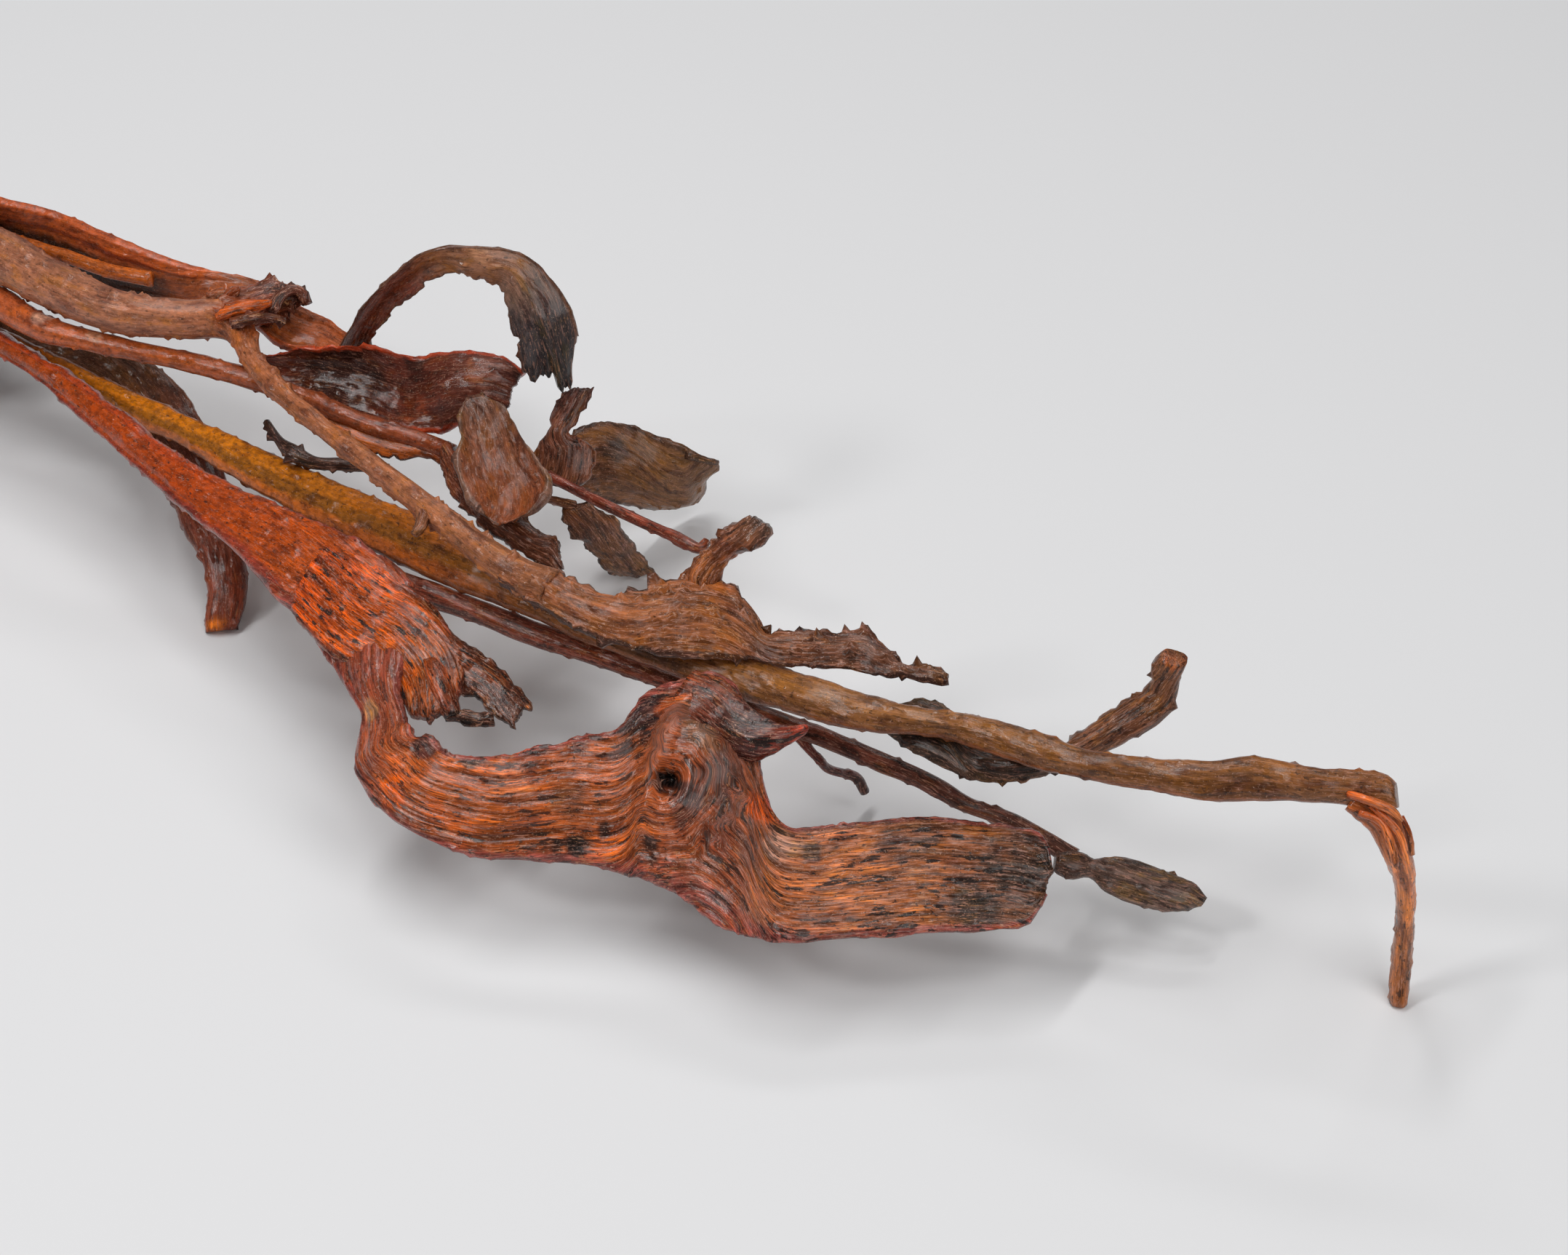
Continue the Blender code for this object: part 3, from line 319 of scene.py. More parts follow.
def lin(colour):
    """Linear light from a colour written as 0xRRGGBB."""
    c = np.array([colour >> 16, colour >> 8 & 255, colour & 255], float) / 255
    return np.where(c <= 0.04045, c / 12.92, ((c + 0.055) / 1.055) ** 2.4)


def tinted(colour, tone, mask):
    """The colours turned to a tone where the mask is 1."""
    return colour * (1 - mask[..., None]) + lin(tone) * mask[..., None]


# ---------------------------------------------------------------- skins


def smooth_rows(rows):
    """Rows an even distance apart along a Catmull-Rom curve through the given ones."""
    rows = np.array(rows, float)
    ends = np.vstack([2 * rows[0] - rows[1], rows, 2 * rows[-1] - rows[-2]])
    points = []
    for i in range(1, len(ends) - 2):
        a, b, c, d = ends[i - 1 : i + 3]
        for t in np.arange(CURVE_STEPS) / CURVE_STEPS:
            points.append(
                0.5 * (2 * b + (c - a) * t + (2 * a - 5 * b + 4 * c - d) * t**2)
                + 0.5 * (3 * b - a - 3 * c + d) * t**3
            )
    points = np.array([*points, rows[-1]])
    middle = points[:, :3] if rows.shape[1] == 4 else (points[:, :3] + points[:, 3:6]) / 2
    run = np.concatenate([[0], np.cumsum(np.linalg.norm(np.diff(middle, axis=0), axis=1))])
    even = np.linspace(0, run[-1], max(int(run[-1] / ROW_STEP), FEWEST_ROWS))
    return even, np.stack([np.interp(even, run, column) for column in points.T], -1)


class Skin:
    """A strand or leaf as rings of points, with the coordinates of the grain that runs along it."""

    def __init__(
        self, stations, seed, thin=1.0, slab=1.0, rim=0.0, ragged=(0.0, 0.0), tooth=3.0, torn=0.0
    ):
        """Rings for a rod or a blade.

        thin scales its thickness, slab below 1 squares its section, rim thickens its edges, ragged
        cuts into its far and near edges with teeth that are tooth long, and torn frays its tip.
        """
        if len(stations[0]) == 4 and not isinstance(stations[0][0], tuple):
            run, rows = smooth_rows(stations)
            side = unit(np.cross((0, 0, 1), np.gradient(rows[:, :3], axis=0)))
            far, near = rows[:, :3] + side * rows[:, 3:], rows[:, :3] - side * rows[:, 3:]
            camber, thick = 0 * run, 2 * rows[:, 3] * thin
        else:
            flat = [(*far, *near, camber, thick) for far, near, camber, thick in stations]
            run, rows = smooth_rows(flat)
            far, near, camber, thick = rows[:, :3], rows[:, 3:6], rows[:, 6], rows[:, 7] * thin
        self.run, self.length, self.seed = run, run[-1], seed
        middle, half = (far + near) / 2, (far - near) / 2
        along = unit(np.gradient(middle, axis=0))
        normal = unit(np.cross(along, half))
        width = np.linalg.norm(half, axis=1)
        girth = 2 * np.pi * width.max() if slab == 1 else FLAT_GIRTH * width.max()
        sides = 2 * int(np.clip(girth / RING_STEP / 2, *SIDES_PER_HALF))
        share = np.arange(sides) / sides * 2
        share = np.where(share < 1, share, share - 1)
        even = np.arccos(1 - 2 * share)
        angle = (0.3 * np.pi * share + 0.7 * even) if slab < 1 else np.pi * share
        angle[sides // 2 :] += np.pi
        across = np.broadcast_to(np.cos(angle), (len(run), sides))
        sine = np.sin(angle)
        rise = np.sign(sine) * np.abs(sine) ** slab
        self.across, self.top = across, sine > 0
        self.edge = np.exp(-(((1 - np.abs(across)) / EDGE_REACH) ** 2))
        stretch = np.zeros(across.shape)
        for sign, amount, shift in ((1, ragged[0], 3), (-1, ragged[1], 8)):
            bite = line_noise(run, tooth, seed + shift) + 0.6 * line_noise(run, tooth / 3, seed + shift + 1)
            pull = amount * np.clip(bite - 0.2, -1.2, 0.4)
            stretch = stretch + sign * smoothstep(0.1, 1.0, sign * across) * pull[:, None]
        rolled = rim * self.edge * np.sign(sine) * np.abs(sine) ** 0.5
        depth = thick[:, None] / 2 * rise + rolled
        y = across * width[:, None] + stretch
        s = run[:, None] + 0 * y
        lift = camber[:, None] * (1 - across**2) + depth
        self.grain = np.stack([s, y, depth], -1)
        self.normal = normal
        sideways = y[..., None] * unit(half)[:, None]
        self.points = middle[:, None] + sideways + lift[..., None] * normal[:, None]
        if torn:
            reach = fractal(np.stack([y / 1.6, 0 * y, 0 * y + seed], -1), seed + 9)
            tip = smoothstep(self.length - 4 * torn, self.length, s)
            self.points = self.points + (torn * tip * (reach - 0.3))[..., None] * along[:, None]
        self.height = 0 * y
        self.fibrous = 1 + 0 * y

    def smoothed(self, stops):
        """Fades the fibres out along the run: a smooth stretch is 0 and a fibrous one is 1."""
        at, amounts = zip(*stops)
        self.fibrous = np.interp(self.run / self.length, at, amounts)[:, None] + 0 * self.height
        return self

    def push(self, height):
        run = np.gradient(self.points, axis=0)
        ring = np.roll(self.points, -1, axis=1) - np.roll(self.points, 1, axis=1)
        self.points = self.points + height[..., None] * unit(np.cross(ring, run))

    def near(self, where, radius, squash=(1, 1, 1)):
        """How near each point is to a place: 1 there, falling away over the radius."""
        away = np.linalg.norm((self.points - np.array(where)) / np.array(squash), axis=-1)
        return np.exp(-((away / radius) ** 2))

    def swell(self, where, radius, height, squash=(1, 1, 1)):
        """Bends both faces up together round a place, or down where the height is negative."""
        lift = (height * self.near(where, radius, squash))[..., None]
        self.points = self.points + lift * self.normal[:, None]
        return self

    def ridge(self, path, radius, height):
        """Bends both faces up along a path, which is seen from above."""
        away = np.full(self.height.shape, 1e9)
        for a, b in zip(path[:-1], path[1:]):
            a, b = np.array(a), np.array(b)
            span = (b - a)[:2]
            share = np.clip(((self.points[..., :2] - a[:2]) @ span) / (span @ span), 0, 1)
            foot = a[:2] + share[..., None] * span
            away = np.minimum(away, np.linalg.norm(self.points[..., :2] - foot, axis=-1))
        lift = (height * np.exp(-((away / radius) ** 2)))[..., None]
        self.points = self.points + lift * self.normal[:, None]
        return self

    def groove(self, low, high, depth):
        """Sinks the top face between two places across the width, from -1 at the near edge to 1."""
        inside = between(low, high, GROOVE_SOFT, self.across)
        self.points = self.points - (depth * inside * self.top)[..., None] * self.normal[:, None]
        return self

    def swirl(self, where, seam, outer):
        """Turns the grain round a place, so that the fibres pass under it and arch over beyond the seam."""
        offset = self.points - np.array(where)
        away = np.linalg.norm(offset, axis=-1)
        level = self.grain[..., 1].ravel()[np.argmin(away)]
        places = np.array(sorted(seam, key=lambda place: place[1]))
        side = self.points[..., 0] - np.interp(self.points[..., 1], places[:, 1], places[:, 0])
        uneven = noise(self.points / 2.5, self.seed + 60)
        fading = 1 - smoothstep(0.7 * outer, outer, away + 2 * uneven)
        mask = smoothstep(-1.5, 1.5, side + 0.8 * uneven) * fading
        turned = level - away - 0.9 * noise(self.points / 4, self.seed + 61)
        self.grain[..., 1] = self.grain[..., 1] * (1 - mask) + turned * mask
        return self

    def weather(self, fibre=0.12, lump=0.3, wart=0.0):
        """Raises fibre ridges along the grain, slow lumps, and small warts."""
        seed = self.seed
        coarse, fine, sharp = [
            noise(self.grain * (1 / along, 1 / across, 1 / across), seed + 20 + i)
            for i, (along, across) in enumerate((COARSE_FIBRE, FINE_FIBRE, SHARP_FIBRE))
        ]
        ridge = 1 - 2 * np.abs(sharp)
        self.height = np.clip(0.5 * coarse + 0.35 * fine + 0.4 * ridge, -1, 1)
        push = fibre * 1.4 * self.height * self.fibrous
        push = push + lump * fractal(self.points / LUMP_SIZE, seed + 23, 2)
        if wart:
            spots = noise(self.points / WART_SIZE, seed + 24)
            crumbs = 1 + noise(self.points / CRUMB_SIZE, seed + 25)
            push = push + wart * smoothstep(0.4, 0.75, spots) * crumbs
        self.push(push)
        return self

    def paint(self, stops, rim=None, under=None, bands=(), patches=(), groove=0.9):
        """The colour along its run, then underneath, in bands, in patches, at its edges, then painted shade
        and light from the relief.

        A band is its two limits across, from -1 at the near edge to 1, its two limits along, from 0 to
        1, its colour and how strongly it shows. A patch is its place, radius, colour and strength.
        """
        t = self.run / self.length
        at = [place for place, _ in stops]
        made = np.stack([np.interp(t, at, [lin(c)[i] for _, c in stops]) for i in range(3)], -1)
        colour = np.repeat(made[:, None], self.points.shape[1], axis=1)
        wobble = fractal(self.points / 3.0, self.seed + 40, 2)
        if under is not None:
            colour[:, ~self.top] = colour[:, ~self.top] * 0.2 + lin(under) * 0.8
        for low, high, start, stop, tone, strength in bands:
            mask = between(low, high, BAND_SOFT, self.across + 0.18 * wobble)
            mask = mask * between(start, stop, BAND_END_SOFT, t)[:, None]
            colour = tinted(colour, tone, strength * mask * self.top)
        for where, radius, tone, strength in patches:
            away = np.linalg.norm(self.points - np.array(where), axis=-1) / radius + 0.7 * wobble
            colour = tinted(colour, tone, strength * (1 - smoothstep(0.6, 1.1, away)))
        if rim is not None:
            colour = tinted(colour, rim, smoothstep(0.3, 0.8, self.edge + 0.3 * wobble) * 0.9)
        # Painted shade and painted highlight: the groove amount darkens the colour in the hollows between
        # fibre ridges and lightens it on the ridges.
        self.colour = colour * (1 + groove * (self.height * self.fibrous)[..., None])
        return self


def end_faces(start, sides):
    return [
        sorted({start + j, start + j + 1, start + sides - j - 1, start + (sides - j) % sides})
        for j in range(sides // 2)
    ]


def piece(node, slot_name, *skins):
    """One object from several painted skins, in place of a node of the frame."""
    points, faces, grain, tint, fibrous, base = [], [], [], [], [], 0
    for skin in skins:
        rows, sides = skin.points.shape[:2]
        i, j = np.meshgrid(np.arange(rows - 1), np.arange(sides), indexing="ij")
        a, k = base + i * sides, (j + 1) % sides
        quads = np.stack([a + j, a + k, a + sides + k, a + sides + j], -1).reshape(-1, 4)
        faces += quads.tolist()
        last = base + (rows - 1) * sides
        faces += [face[::-1] for face in end_faces(base, sides)] + end_faces(last, sides)
        points.append(skin.points.reshape(-1, 3))
        grain.append(skin.grain.reshape(-1, 3) + (0, 0, 37 * len(grain)))
        tint.append(skin.colour.reshape(-1, 3))
        fibrous.append(skin.fibrous.ravel())
        base += rows * sides
    points = np.concatenate(points)
    points[:, 2] = np.maximum(points[:, 2], 0)
    mesh = bpy.data.meshes.new(node + "_skin")
    mesh.from_pydata((points * MM).tolist(), [], faces)
    mesh.shade_smooth()
    grains = mesh.attributes.new("grain", "FLOAT_VECTOR", "POINT")
    grains.data.foreach_set("vector", np.concatenate(grain).astype(np.float32).ravel())
    rgba = np.concatenate([np.concatenate(tint), np.ones((len(points), 1))], 1)
    tints = mesh.attributes.new("tint", "FLOAT_COLOR", "POINT")
    tints.data.foreach_set("color", rgba.astype(np.float32).ravel())
    amount = mesh.attributes.new("fibrous", "FLOAT", "POINT")
    amount.data.foreach_set("value", np.concatenate(fibrous).astype(np.float32))
    mesh.materials.append(material(slot_name))
    made = bpy.data.objects.new(node + "_skin", mesh)
    bpy.context.scene.collection.objects.link(made)
    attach(made, "root")
    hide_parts(node)


# ---------------------------------------------------------------- materials

# The last amount in each slot sets how strongly the pale grit and the painted glints, which are painted
# highlights, show.
SLOTS = {
    "crown_bark": dict(streak=0.8, speckle=0.7, dark=0.58, rough=0.50, coat=0.3, bump=1.0, grit_and_painted_glints=0.5),
    "bark_brown": dict(streak=0.6, speckle=0.7, dark=0.58, rough=0.42, coat=0.45, bump=1.0, grit_and_painted_glints=0.8),
    "russet_gloss": dict(streak=0.6, speckle=0.7, dark=0.58, rough=0.32, coat=0.6, bump=0.8, grit_and_painted_glints=0.5),
    "orange_gloss": dict(streak=1.0, speckle=0.95, dark=0.56, rough=0.30, coat=0.65, bump=1.0, grit_and_painted_glints=0.6),
    "amber_gloss": dict(streak=0.6, speckle=0.8, dark=0.57, rough=0.36, coat=0.5, bump=0.8, grit_and_painted_glints=0.5),
    "dark_blade": dict(streak=0.7, speckle=0.8, dark=0.57, rough=0.40, coat=0.45, bump=1.0, grit_and_painted_glints=0.4),
    "leaf_brown": dict(streak=0.6, speckle=0.7, dark=0.58, rough=0.42, coat=0.45, bump=1.0, grit_and_painted_glints=0.6),
    "red_bark": dict(streak=0.7, speckle=0.7, dark=0.58, rough=0.38, coat=0.5, bump=0.9, grit_and_painted_glints=0.5),
}

# Colours in linear light: painted glints (painted highlights), grit, flecks and crumbs, then what a blotch is
# multiplied by.
PAINTED_GLINT_TONE, GRIT_TONE = (0.56, 0.27, 0.19, 1), (0.58, 0.34, 0.23, 1)
FLECK_TONE, CRUMB_TONE = (0.012, 0.010, 0.010, 1), (0.016, 0.011, 0.010, 1)
WARMER, DARKER = (1.12, 1.03, 0.60, 1), (0.42, 0.36, 0.42, 1)
GLARE_TINT = (1.0, 0.6, 0.45, 1)
GRAIN_RELIEF, VARNISH_RELIEF = 0.00035, 0.00009  # metres


def material(name):
    return bpy.data.materials.get(name + "_skin") or dried_skin(name + "_skin", **SLOTS[name])


def dried_skin(name, streak, speckle, dark, rough, coat, bump, grit_and_painted_glints):
    """Varnished dry bark or leaf: streaked along the grain, speckled dark, with a fine uneven skin."""
    made = bpy.data.materials.new(name)
    made.use_nodes = True
    tree = made.node_tree
    nodes, links = tree.nodes, tree.links
    shader = nodes.get("Principled BSDF") or nodes.new("ShaderNodeBsdfPrincipled")

    def add(kind, **values):
        node = nodes.new(kind)
        for key, value in values.items():
            setattr(node, key, value)
        return node

    def grain_noise(scale, detail=3.0, roughness=0.6, shift=0.0):
        mapping = add("ShaderNodeMapping")
        mapping.inputs["Scale"].default_value = scale
        mapping.inputs["Location"].default_value = (shift, shift * 0.7, shift * 1.3)
        links.new(grain.outputs["Vector"], mapping.inputs["Vector"])
        texture = add("ShaderNodeTexNoise")
        texture.inputs["Scale"].default_value = 1.0
        texture.inputs["Detail"].default_value = detail
        texture.inputs["Roughness"].default_value = roughness
        links.new(mapping.outputs[0], texture.inputs["Vector"])
        return texture.outputs["Fac"]

    def ramp(value, low, high, to_low, to_high):
        node = add("ShaderNodeMapRange", interpolation_type="SMOOTHSTEP")
        for key, number in (("From Min", low), ("From Max", high), ("To Min", to_low), ("To Max", to_high)):
            node.inputs[key].default_value = number
        links.new(value, node.inputs["Value"])
        return node.outputs[0]

    def mix(kind, factor, a, b):
        node = add("ShaderNodeMix", data_type="RGBA", blend_type=kind)
        for socket, value in ((0, factor), (6, a), (7, b)):
            if isinstance(value, bpy.types.NodeSocket):
                links.new(value, node.inputs[socket])
            else:
                node.inputs[socket].default_value = value
        return node.outputs[2]

    def add_up(*weighted):
        total = None
        for value, weight in weighted:
            node = add("ShaderNodeMath", operation="MULTIPLY_ADD")
            links.new(value, node.inputs[0])
            node.inputs[1].default_value = weight
            node.inputs[2].default_value = 0.0
            if total is not None:
                links.new(total, node.inputs[2])
            total = node.outputs[0]
        return total

    grain = add("ShaderNodeAttribute", attribute_name="grain")
    tint = add("ShaderNodeAttribute", attribute_name="tint")
    fibrous = add("ShaderNodeAttribute", attribute_name="fibrous")
    streaks = grain_noise((0.09, 0.8, 0.8), detail=3, shift=5.3)
    fibres = grain_noise((0.16, 2.0, 2.0), detail=4)
    threads = grain_noise((0.30, 4.5, 4.5), detail=2, shift=3.1)
    blotch = grain_noise((0.14, 0.34, 0.34), detail=4, shift=7.7)
    flecks = grain_noise((0.20, 0.85, 0.85), detail=4, roughness=0.65, shift=11.3)
    spots = grain_noise((0.6, 0.9, 0.9), detail=3, shift=41.9)
    painted_glints = grain_noise((0.45, 2.8, 2.8), detail=3, roughness=0.7, shift=29.1)
    grit = grain_noise((2.2, 2.4, 2.4), detail=3, roughness=0.7, shift=17.9)
    crumbs = grain_noise((1.0, 1.4, 1.4), detail=2, roughness=0.5, shift=23.5)

    toned = tint.outputs["Color"]
    for pattern, reach, low, high in (
        (streaks, 0.16, 1 - 0.45 * streak, 1 + 0.30 * streak),
        (fibres, 0.16, 1 - 0.48 * streak, 1 + 0.32 * streak),
        (threads, 0.16, 1 - 0.50 * streak, 1 + 0.50 * streak),
    ):
        toned = mix("MULTIPLY", 1.0, toned, ramp(pattern, 0.5 - reach, 0.5 + reach, low, high))
    # Painted highlights: thin pale glints mixed into the base colour, standing in for light caught on the
    # varnish.
    toned = mix("MIX", ramp(painted_glints, 0.53, 0.64, 0, grit_and_painted_glints), toned, PAINTED_GLINT_TONE)
    toned = mix("MIX", ramp(flecks, dark, dark + 0.05, 0, speckle), toned, FLECK_TONE)
    mottled = mix("MULTIPLY", 1.0, tint.outputs["Color"], ramp(spots, 0.34, 0.66, 0.62, 1.32))
    toned = mix("MIX", fibrous.outputs["Fac"], mottled, toned)
    warmed = mix("MULTIPLY", 1.0, toned, WARMER)
    toned = mix("MIX", ramp(blotch, 0.36, 0.48, 0.9, 0), toned, warmed)
    shaded = mix("MULTIPLY", 1.0, toned, DARKER)
    toned = mix("MIX", ramp(blotch, 0.52, 0.66, 0, 0.8), toned, shaded)
    toned = mix("MIX", ramp(crumbs, 0.63, 0.70, 0, 0.8 * speckle), toned, CRUMB_TONE)
    toned = mix("MIX", ramp(grit, 0.60, 0.70, 0, grit_and_painted_glints), toned, GRIT_TONE)
    links.new(toned, shader.inputs["Base Color"])

    uneven = add_up((grit, 0.6), (fibres, 0.4))
    links.new(ramp(uneven, 0.35, 0.65, rough - 0.16, rough + 0.16), shader.inputs["Roughness"])
    shader.inputs["Specular IOR Level"].default_value = 0.12
    shader.inputs["Specular Tint"].default_value = GLARE_TINT
    shader.inputs["Coat Weight"].default_value = coat
    shader.inputs["Coat Roughness"].default_value = 0.10

    def relief(strength, distance, *weighted):
        node = add("ShaderNodeBump")
        node.inputs["Strength"].default_value = strength
        node.inputs["Distance"].default_value = distance
        links.new(add_up(*weighted), node.inputs["Height"])
        return node.outputs[0]

    grains = relief(bump, GRAIN_RELIEF, (fibres, 0.5), (threads, 0.35), (grit, 0.35), (flecks, 0.25))
    links.new(grains, shader.inputs["Normal"])
    varnish = relief(bump, VARNISH_RELIEF, (fibres, 0.5), (threads, 0.35), (grit, 0.6), (crumbs, 0.5))
    links.new(varnish, shader.inputs["Coat Normal"])
    return made


# ---------------------------------------------------------------- the pieces

# Slivers too fine for the solids: broken wood at the knot, splinters at the foot, a nub and a tail.
KNOT_SLIVERS = [
    [(-64, 21.5, 52, 1.5), (-64, 24.5, 54, 1.3), (-62.5, 27.5, 55, 1.1), (-60, 28.5, 54.5, 1),
     (-58.5, 27.5, 53, 0.8)],
    [(-71.5, 12.5, 53, 1.6), (-68, 15, 55, 1.9), (-65.5, 18, 55, 1.4), (-64.5, 22, 54, 0.8)],
    [(-67, 12, 53, 1.1), (-63.5, 14.5, 54, 1.4), (-61.5, 18.5, 53, 1.3), (-59, 20.5, 52, 0.8)],
    [(-75, 17.5, 52, 1), (-73, 19, 55, 1), (-71.5, 20.5, 56, 0.6)],
]
STALK_NUB = [
    (4.5, -11, 46.5, 1.5), (7, -15, 47, 1.3), (7.5, -17, 46.5, 1), (7.5, -18.5, 46, 0.7),
]
FOOT_SPLINTERS = [
    [(203.5, 9.5, 51, 0.7), (207.5, 9, 52, 0.8), (211.5, 10, 51, 0.8), (214, 10.5, 49, 0.5)],
    [(206.5, 8, 49, 0.7), (210.5, 9, 48, 0.7), (213.5, 8, 45, 0.7), (215.5, 7, 41, 0.5)],
    [(213.5, 11.5, 49, 0.5), (215.5, 11, 46, 0.7), (217, 10.5, 42, 0.5)],
    [(208, 9.5, 50.5, 0.5), (211, 9.5, 49, 0.7), (214.5, 9.5, 46, 0.7), (217, 9, 41, 0.5)],
]
BACK_TAIL = [
    (22.5, 58, 24.5, 1.0), (24, 60, 23, 0.8), (25.5, 62, 21.5, 0.7), (26.5, 64, 20, 0.5),
]

# The thin stems that carry the leaves and the red twig, each from its leaf down to the leafy strand.
FRONT_STEM = [
    (7.5, 10.4, 45.4, 0.7), (7, 8.6, 41.5, 0.7), (6.2, 7.2, 36.6, 1.0),
]
FLAG_STEM = [
    (9.5, 26.5, 32.5, 1.0), (5, 20, 34.5, 0.8), (-2, 13.3, 37.1, 1.0),
]
BACK_STEM = [
    (5.5, 37.5, 28, 1.0), (2, 30, 32, 0.9), (-4, 20.5, 35.5, 0.8), (-7.7, 15, 36.9, 1.0),
]
LOWER_STEM = [
    (14, 27, 26.8, 1.0), (9, 20, 31.5, 0.8), (5, 9.5, 35.9, 1.0),
]
RED_STEM = [
    (12, 21.5, 37.4, 1.2), (8.5, 16, 37.5, 0.9), (3.5, 10.5, 36.9, 1.0),
]

EYE = (85.7, -41.0, 34)
# Where the strap's colour changes: the place, how far it reaches, its colour, and how strongly.
STRAP_ZONES = [
    ((84, -38, 30), 4, 0x0A0808, 1.0), ((90, -42.5, 34), 3, 0x341E1C, 0.75),
    ((94, -41, 34.5), 3, 0x2E1C1C, 0.75), ((97.5, -38.5, 35.5), 3, 0x2C1C1E, 0.75),
    ((14, -43, 31), 6, 0x964634, 0.6), ((19, -50, 27), 2.6, 0xBE8454, 0.8),
    ((27.5, -62, 24.5), 3, 0x70382E, 0.6), ((36, -64, 25), 3.5, 0xEB6208, 0.9),
    ((46, -65.5, 23), 4, 0xC85812, 0.7), ((53.5, -64.5, 22.5), 4, 0xC45612, 0.6),
    ((38.5, -55.5, 31), 3.2, 0x442424, 0.9), ((48.5, -54, 31), 2.6, 0x1E1616, 0.85),
    ((58.5, -49, 33), 4, 0x703426, 0.7), ((65.5, -41, 35), 2.8, 0x46221E, 0.8),
    ((57.5, -54.5, 30), 5, 0xCD764E, 0.6), ((69, -51, 29), 4, 0x603A28, 0.7),
    ((57.5, -60.5, 26), 5, 0xCE621E, 0.7), ((80.5, -52, 23.5), 3.5, 0xD76218, 0.8),
    ((73.7, -54.8, 22.5), 2.8, 0x141414, 0.97), ((70.5, -57, 21.5), 1.8, 0x161414, 0.9),
    ((78, -51, 25.5), 1.7, 0x161414, 0.9), ((87.5, -49.5, 25.5), 2.0, 0x181616, 0.9),
    ((89, -51, 23), 1.4, 0x181616, 0.85), ((77, -20, 44), 5, 0x3C2422, 0.9),
    ((81, -18, 45), 4, 0x462622, 0.8), ((74, -33, 39), 5.5, 0x382626, 0.9),
    ((76, -24, 43), 4.5, 0x402826, 0.85), ((72, -29.5, 40.5), 4, 0x3A2628, 0.85),
    ((77.5, -36, 39), 2.6, 0x8C3E1A, 0.75), ((78.5, -31, 42), 2.6, 0x923E18, 0.8),
    ((81, -22, 44), 5, 0x7E3A20, 0.8), ((87.5, -30.5, 41), 5, 0x845E44, 0.75),
    ((94.5, -28.5, 41), 4, 0x4E3A34, 0.85), ((91, -44, 33), 4.5, 0x50302A, 0.8),
    ((94.5, -36, 35.5), 4.5, 0x502A20, 0.75), ((102.5, -35, 31), 3.5, 0xE15A0A, 0.95),
    ((103.5, -33, 28.5), 3, 0xD7540C, 0.9), ((99.5, -43.5, 30), 4.5, 0x783620, 0.75),
    ((96.5, -52, 21.5), 5, 0x964E3C, 0.6), ((110, -37.5, 26.5), 4.5, 0xA87862, 0.85),
    ((115.5, -35.5, 25.5), 2.4, 0x302C30, 0.85), ((117, -43, 23.5), 6, 0xB46230, 0.5),
    ((130, -22.5, 26), 6, 0x5C3A2A, 0.65), ((150, -16.5, 23.5), 7, 0x42322A, 0.9),
    ((147.5, -26, 20), 6, 0x3A302C, 0.88), ((134.5, -30, 22.5), 7, 0xA05A2E, 0.4),
    # The eye and the dent beside it are painted near black: painted shade filling the hole.
    (EYE, 2.8, 0x080809, 1.0), ((88, -42.5, 34), 2.0, 0x121012, 0.9),
]
HOOD_RIDGE = [
    (84.2, -46, 32), (82.0, -41.5, 37), (80.3, -36.5, 41), (80.0, -31, 43), (82.0, -25.5, 44),
]


def crown():
    stump = Skin(CROWN, 3, slab=1).weather(fibre=0.25, lump=1.0, wart=0.4)
    stump.paint([(0, 0x73422D), (0.5, 0x5F3A2A), (1, 0x503428)], groove=0.5)
    piece("crown", "crown_bark", stump)


def arching_strand():
    channel = Skin(ARCH_CHANNEL, 11, slab=0.7, rim=0.7, ragged=(0.3, 0.5), tooth=5)
    channel.smoothed([(0, 0.2), (0.6, 0.3), (0.8, 0.6), (1, 0.5)])
    channel.groove(-0.8, 0.55, 0.9).weather(fibre=0.15, lump=0.35, wart=0.3)
    channel.paint(
        [(0, 0x964C2C), (0.5, 0xA5542E), (0.8, 0x96502E), (1, 0xA55430)],
        rim=0xBE582C, under=0x6E3422,
        # The first band, near black over the channel's sunken top face, is painted shade inside the channel.
        bands=[(-1.2, 0.25, 0, 0.62, 0x2A140C, 0.95), (0.55, 1.2, 0, 0.7, 0xB9562A, 0.7)],
    )
    leaf = Skin(ARCH_LEAF, 12, thin=0.75, slab=0.55, rim=0.15, ragged=(0.3, 1.4), tooth=4.5, torn=4.5)
    leaf.smoothed([(0, 0.6), (0.5, 0.4), (1, 0.8)]).weather(fibre=0.12, lump=0.6, wart=0.4)
    leaf.paint(
        [(0, 0x5C2412), (0.35, 0x78321A), (0.48, 0xA06846), (0.62, 0x966448), (0.74, 0x705446),
         (0.82, 0x403838), (1, 0x323032)],
        rim=0x603E2E,
        patches=[((-12, 34.5, 79), 3, 0xC48C68, 0.7), ((0, 9, 74), 3, 0x8C5A3E, 0.6)],
    )
    piece("arching_strand", "russet_gloss", channel, leaf)


def inner_stub():
    stub = Skin(INNER_STUB, 15, torn=0.8).smoothed([(0, 0.3), (1, 0.5)])
    stub.weather(fibre=0.1, lump=0.3, wart=0.3)
    piece("inner_stub", "russet_gloss", stub.paint([(0, 0x8C461E), (1, 0xBE6024)]))


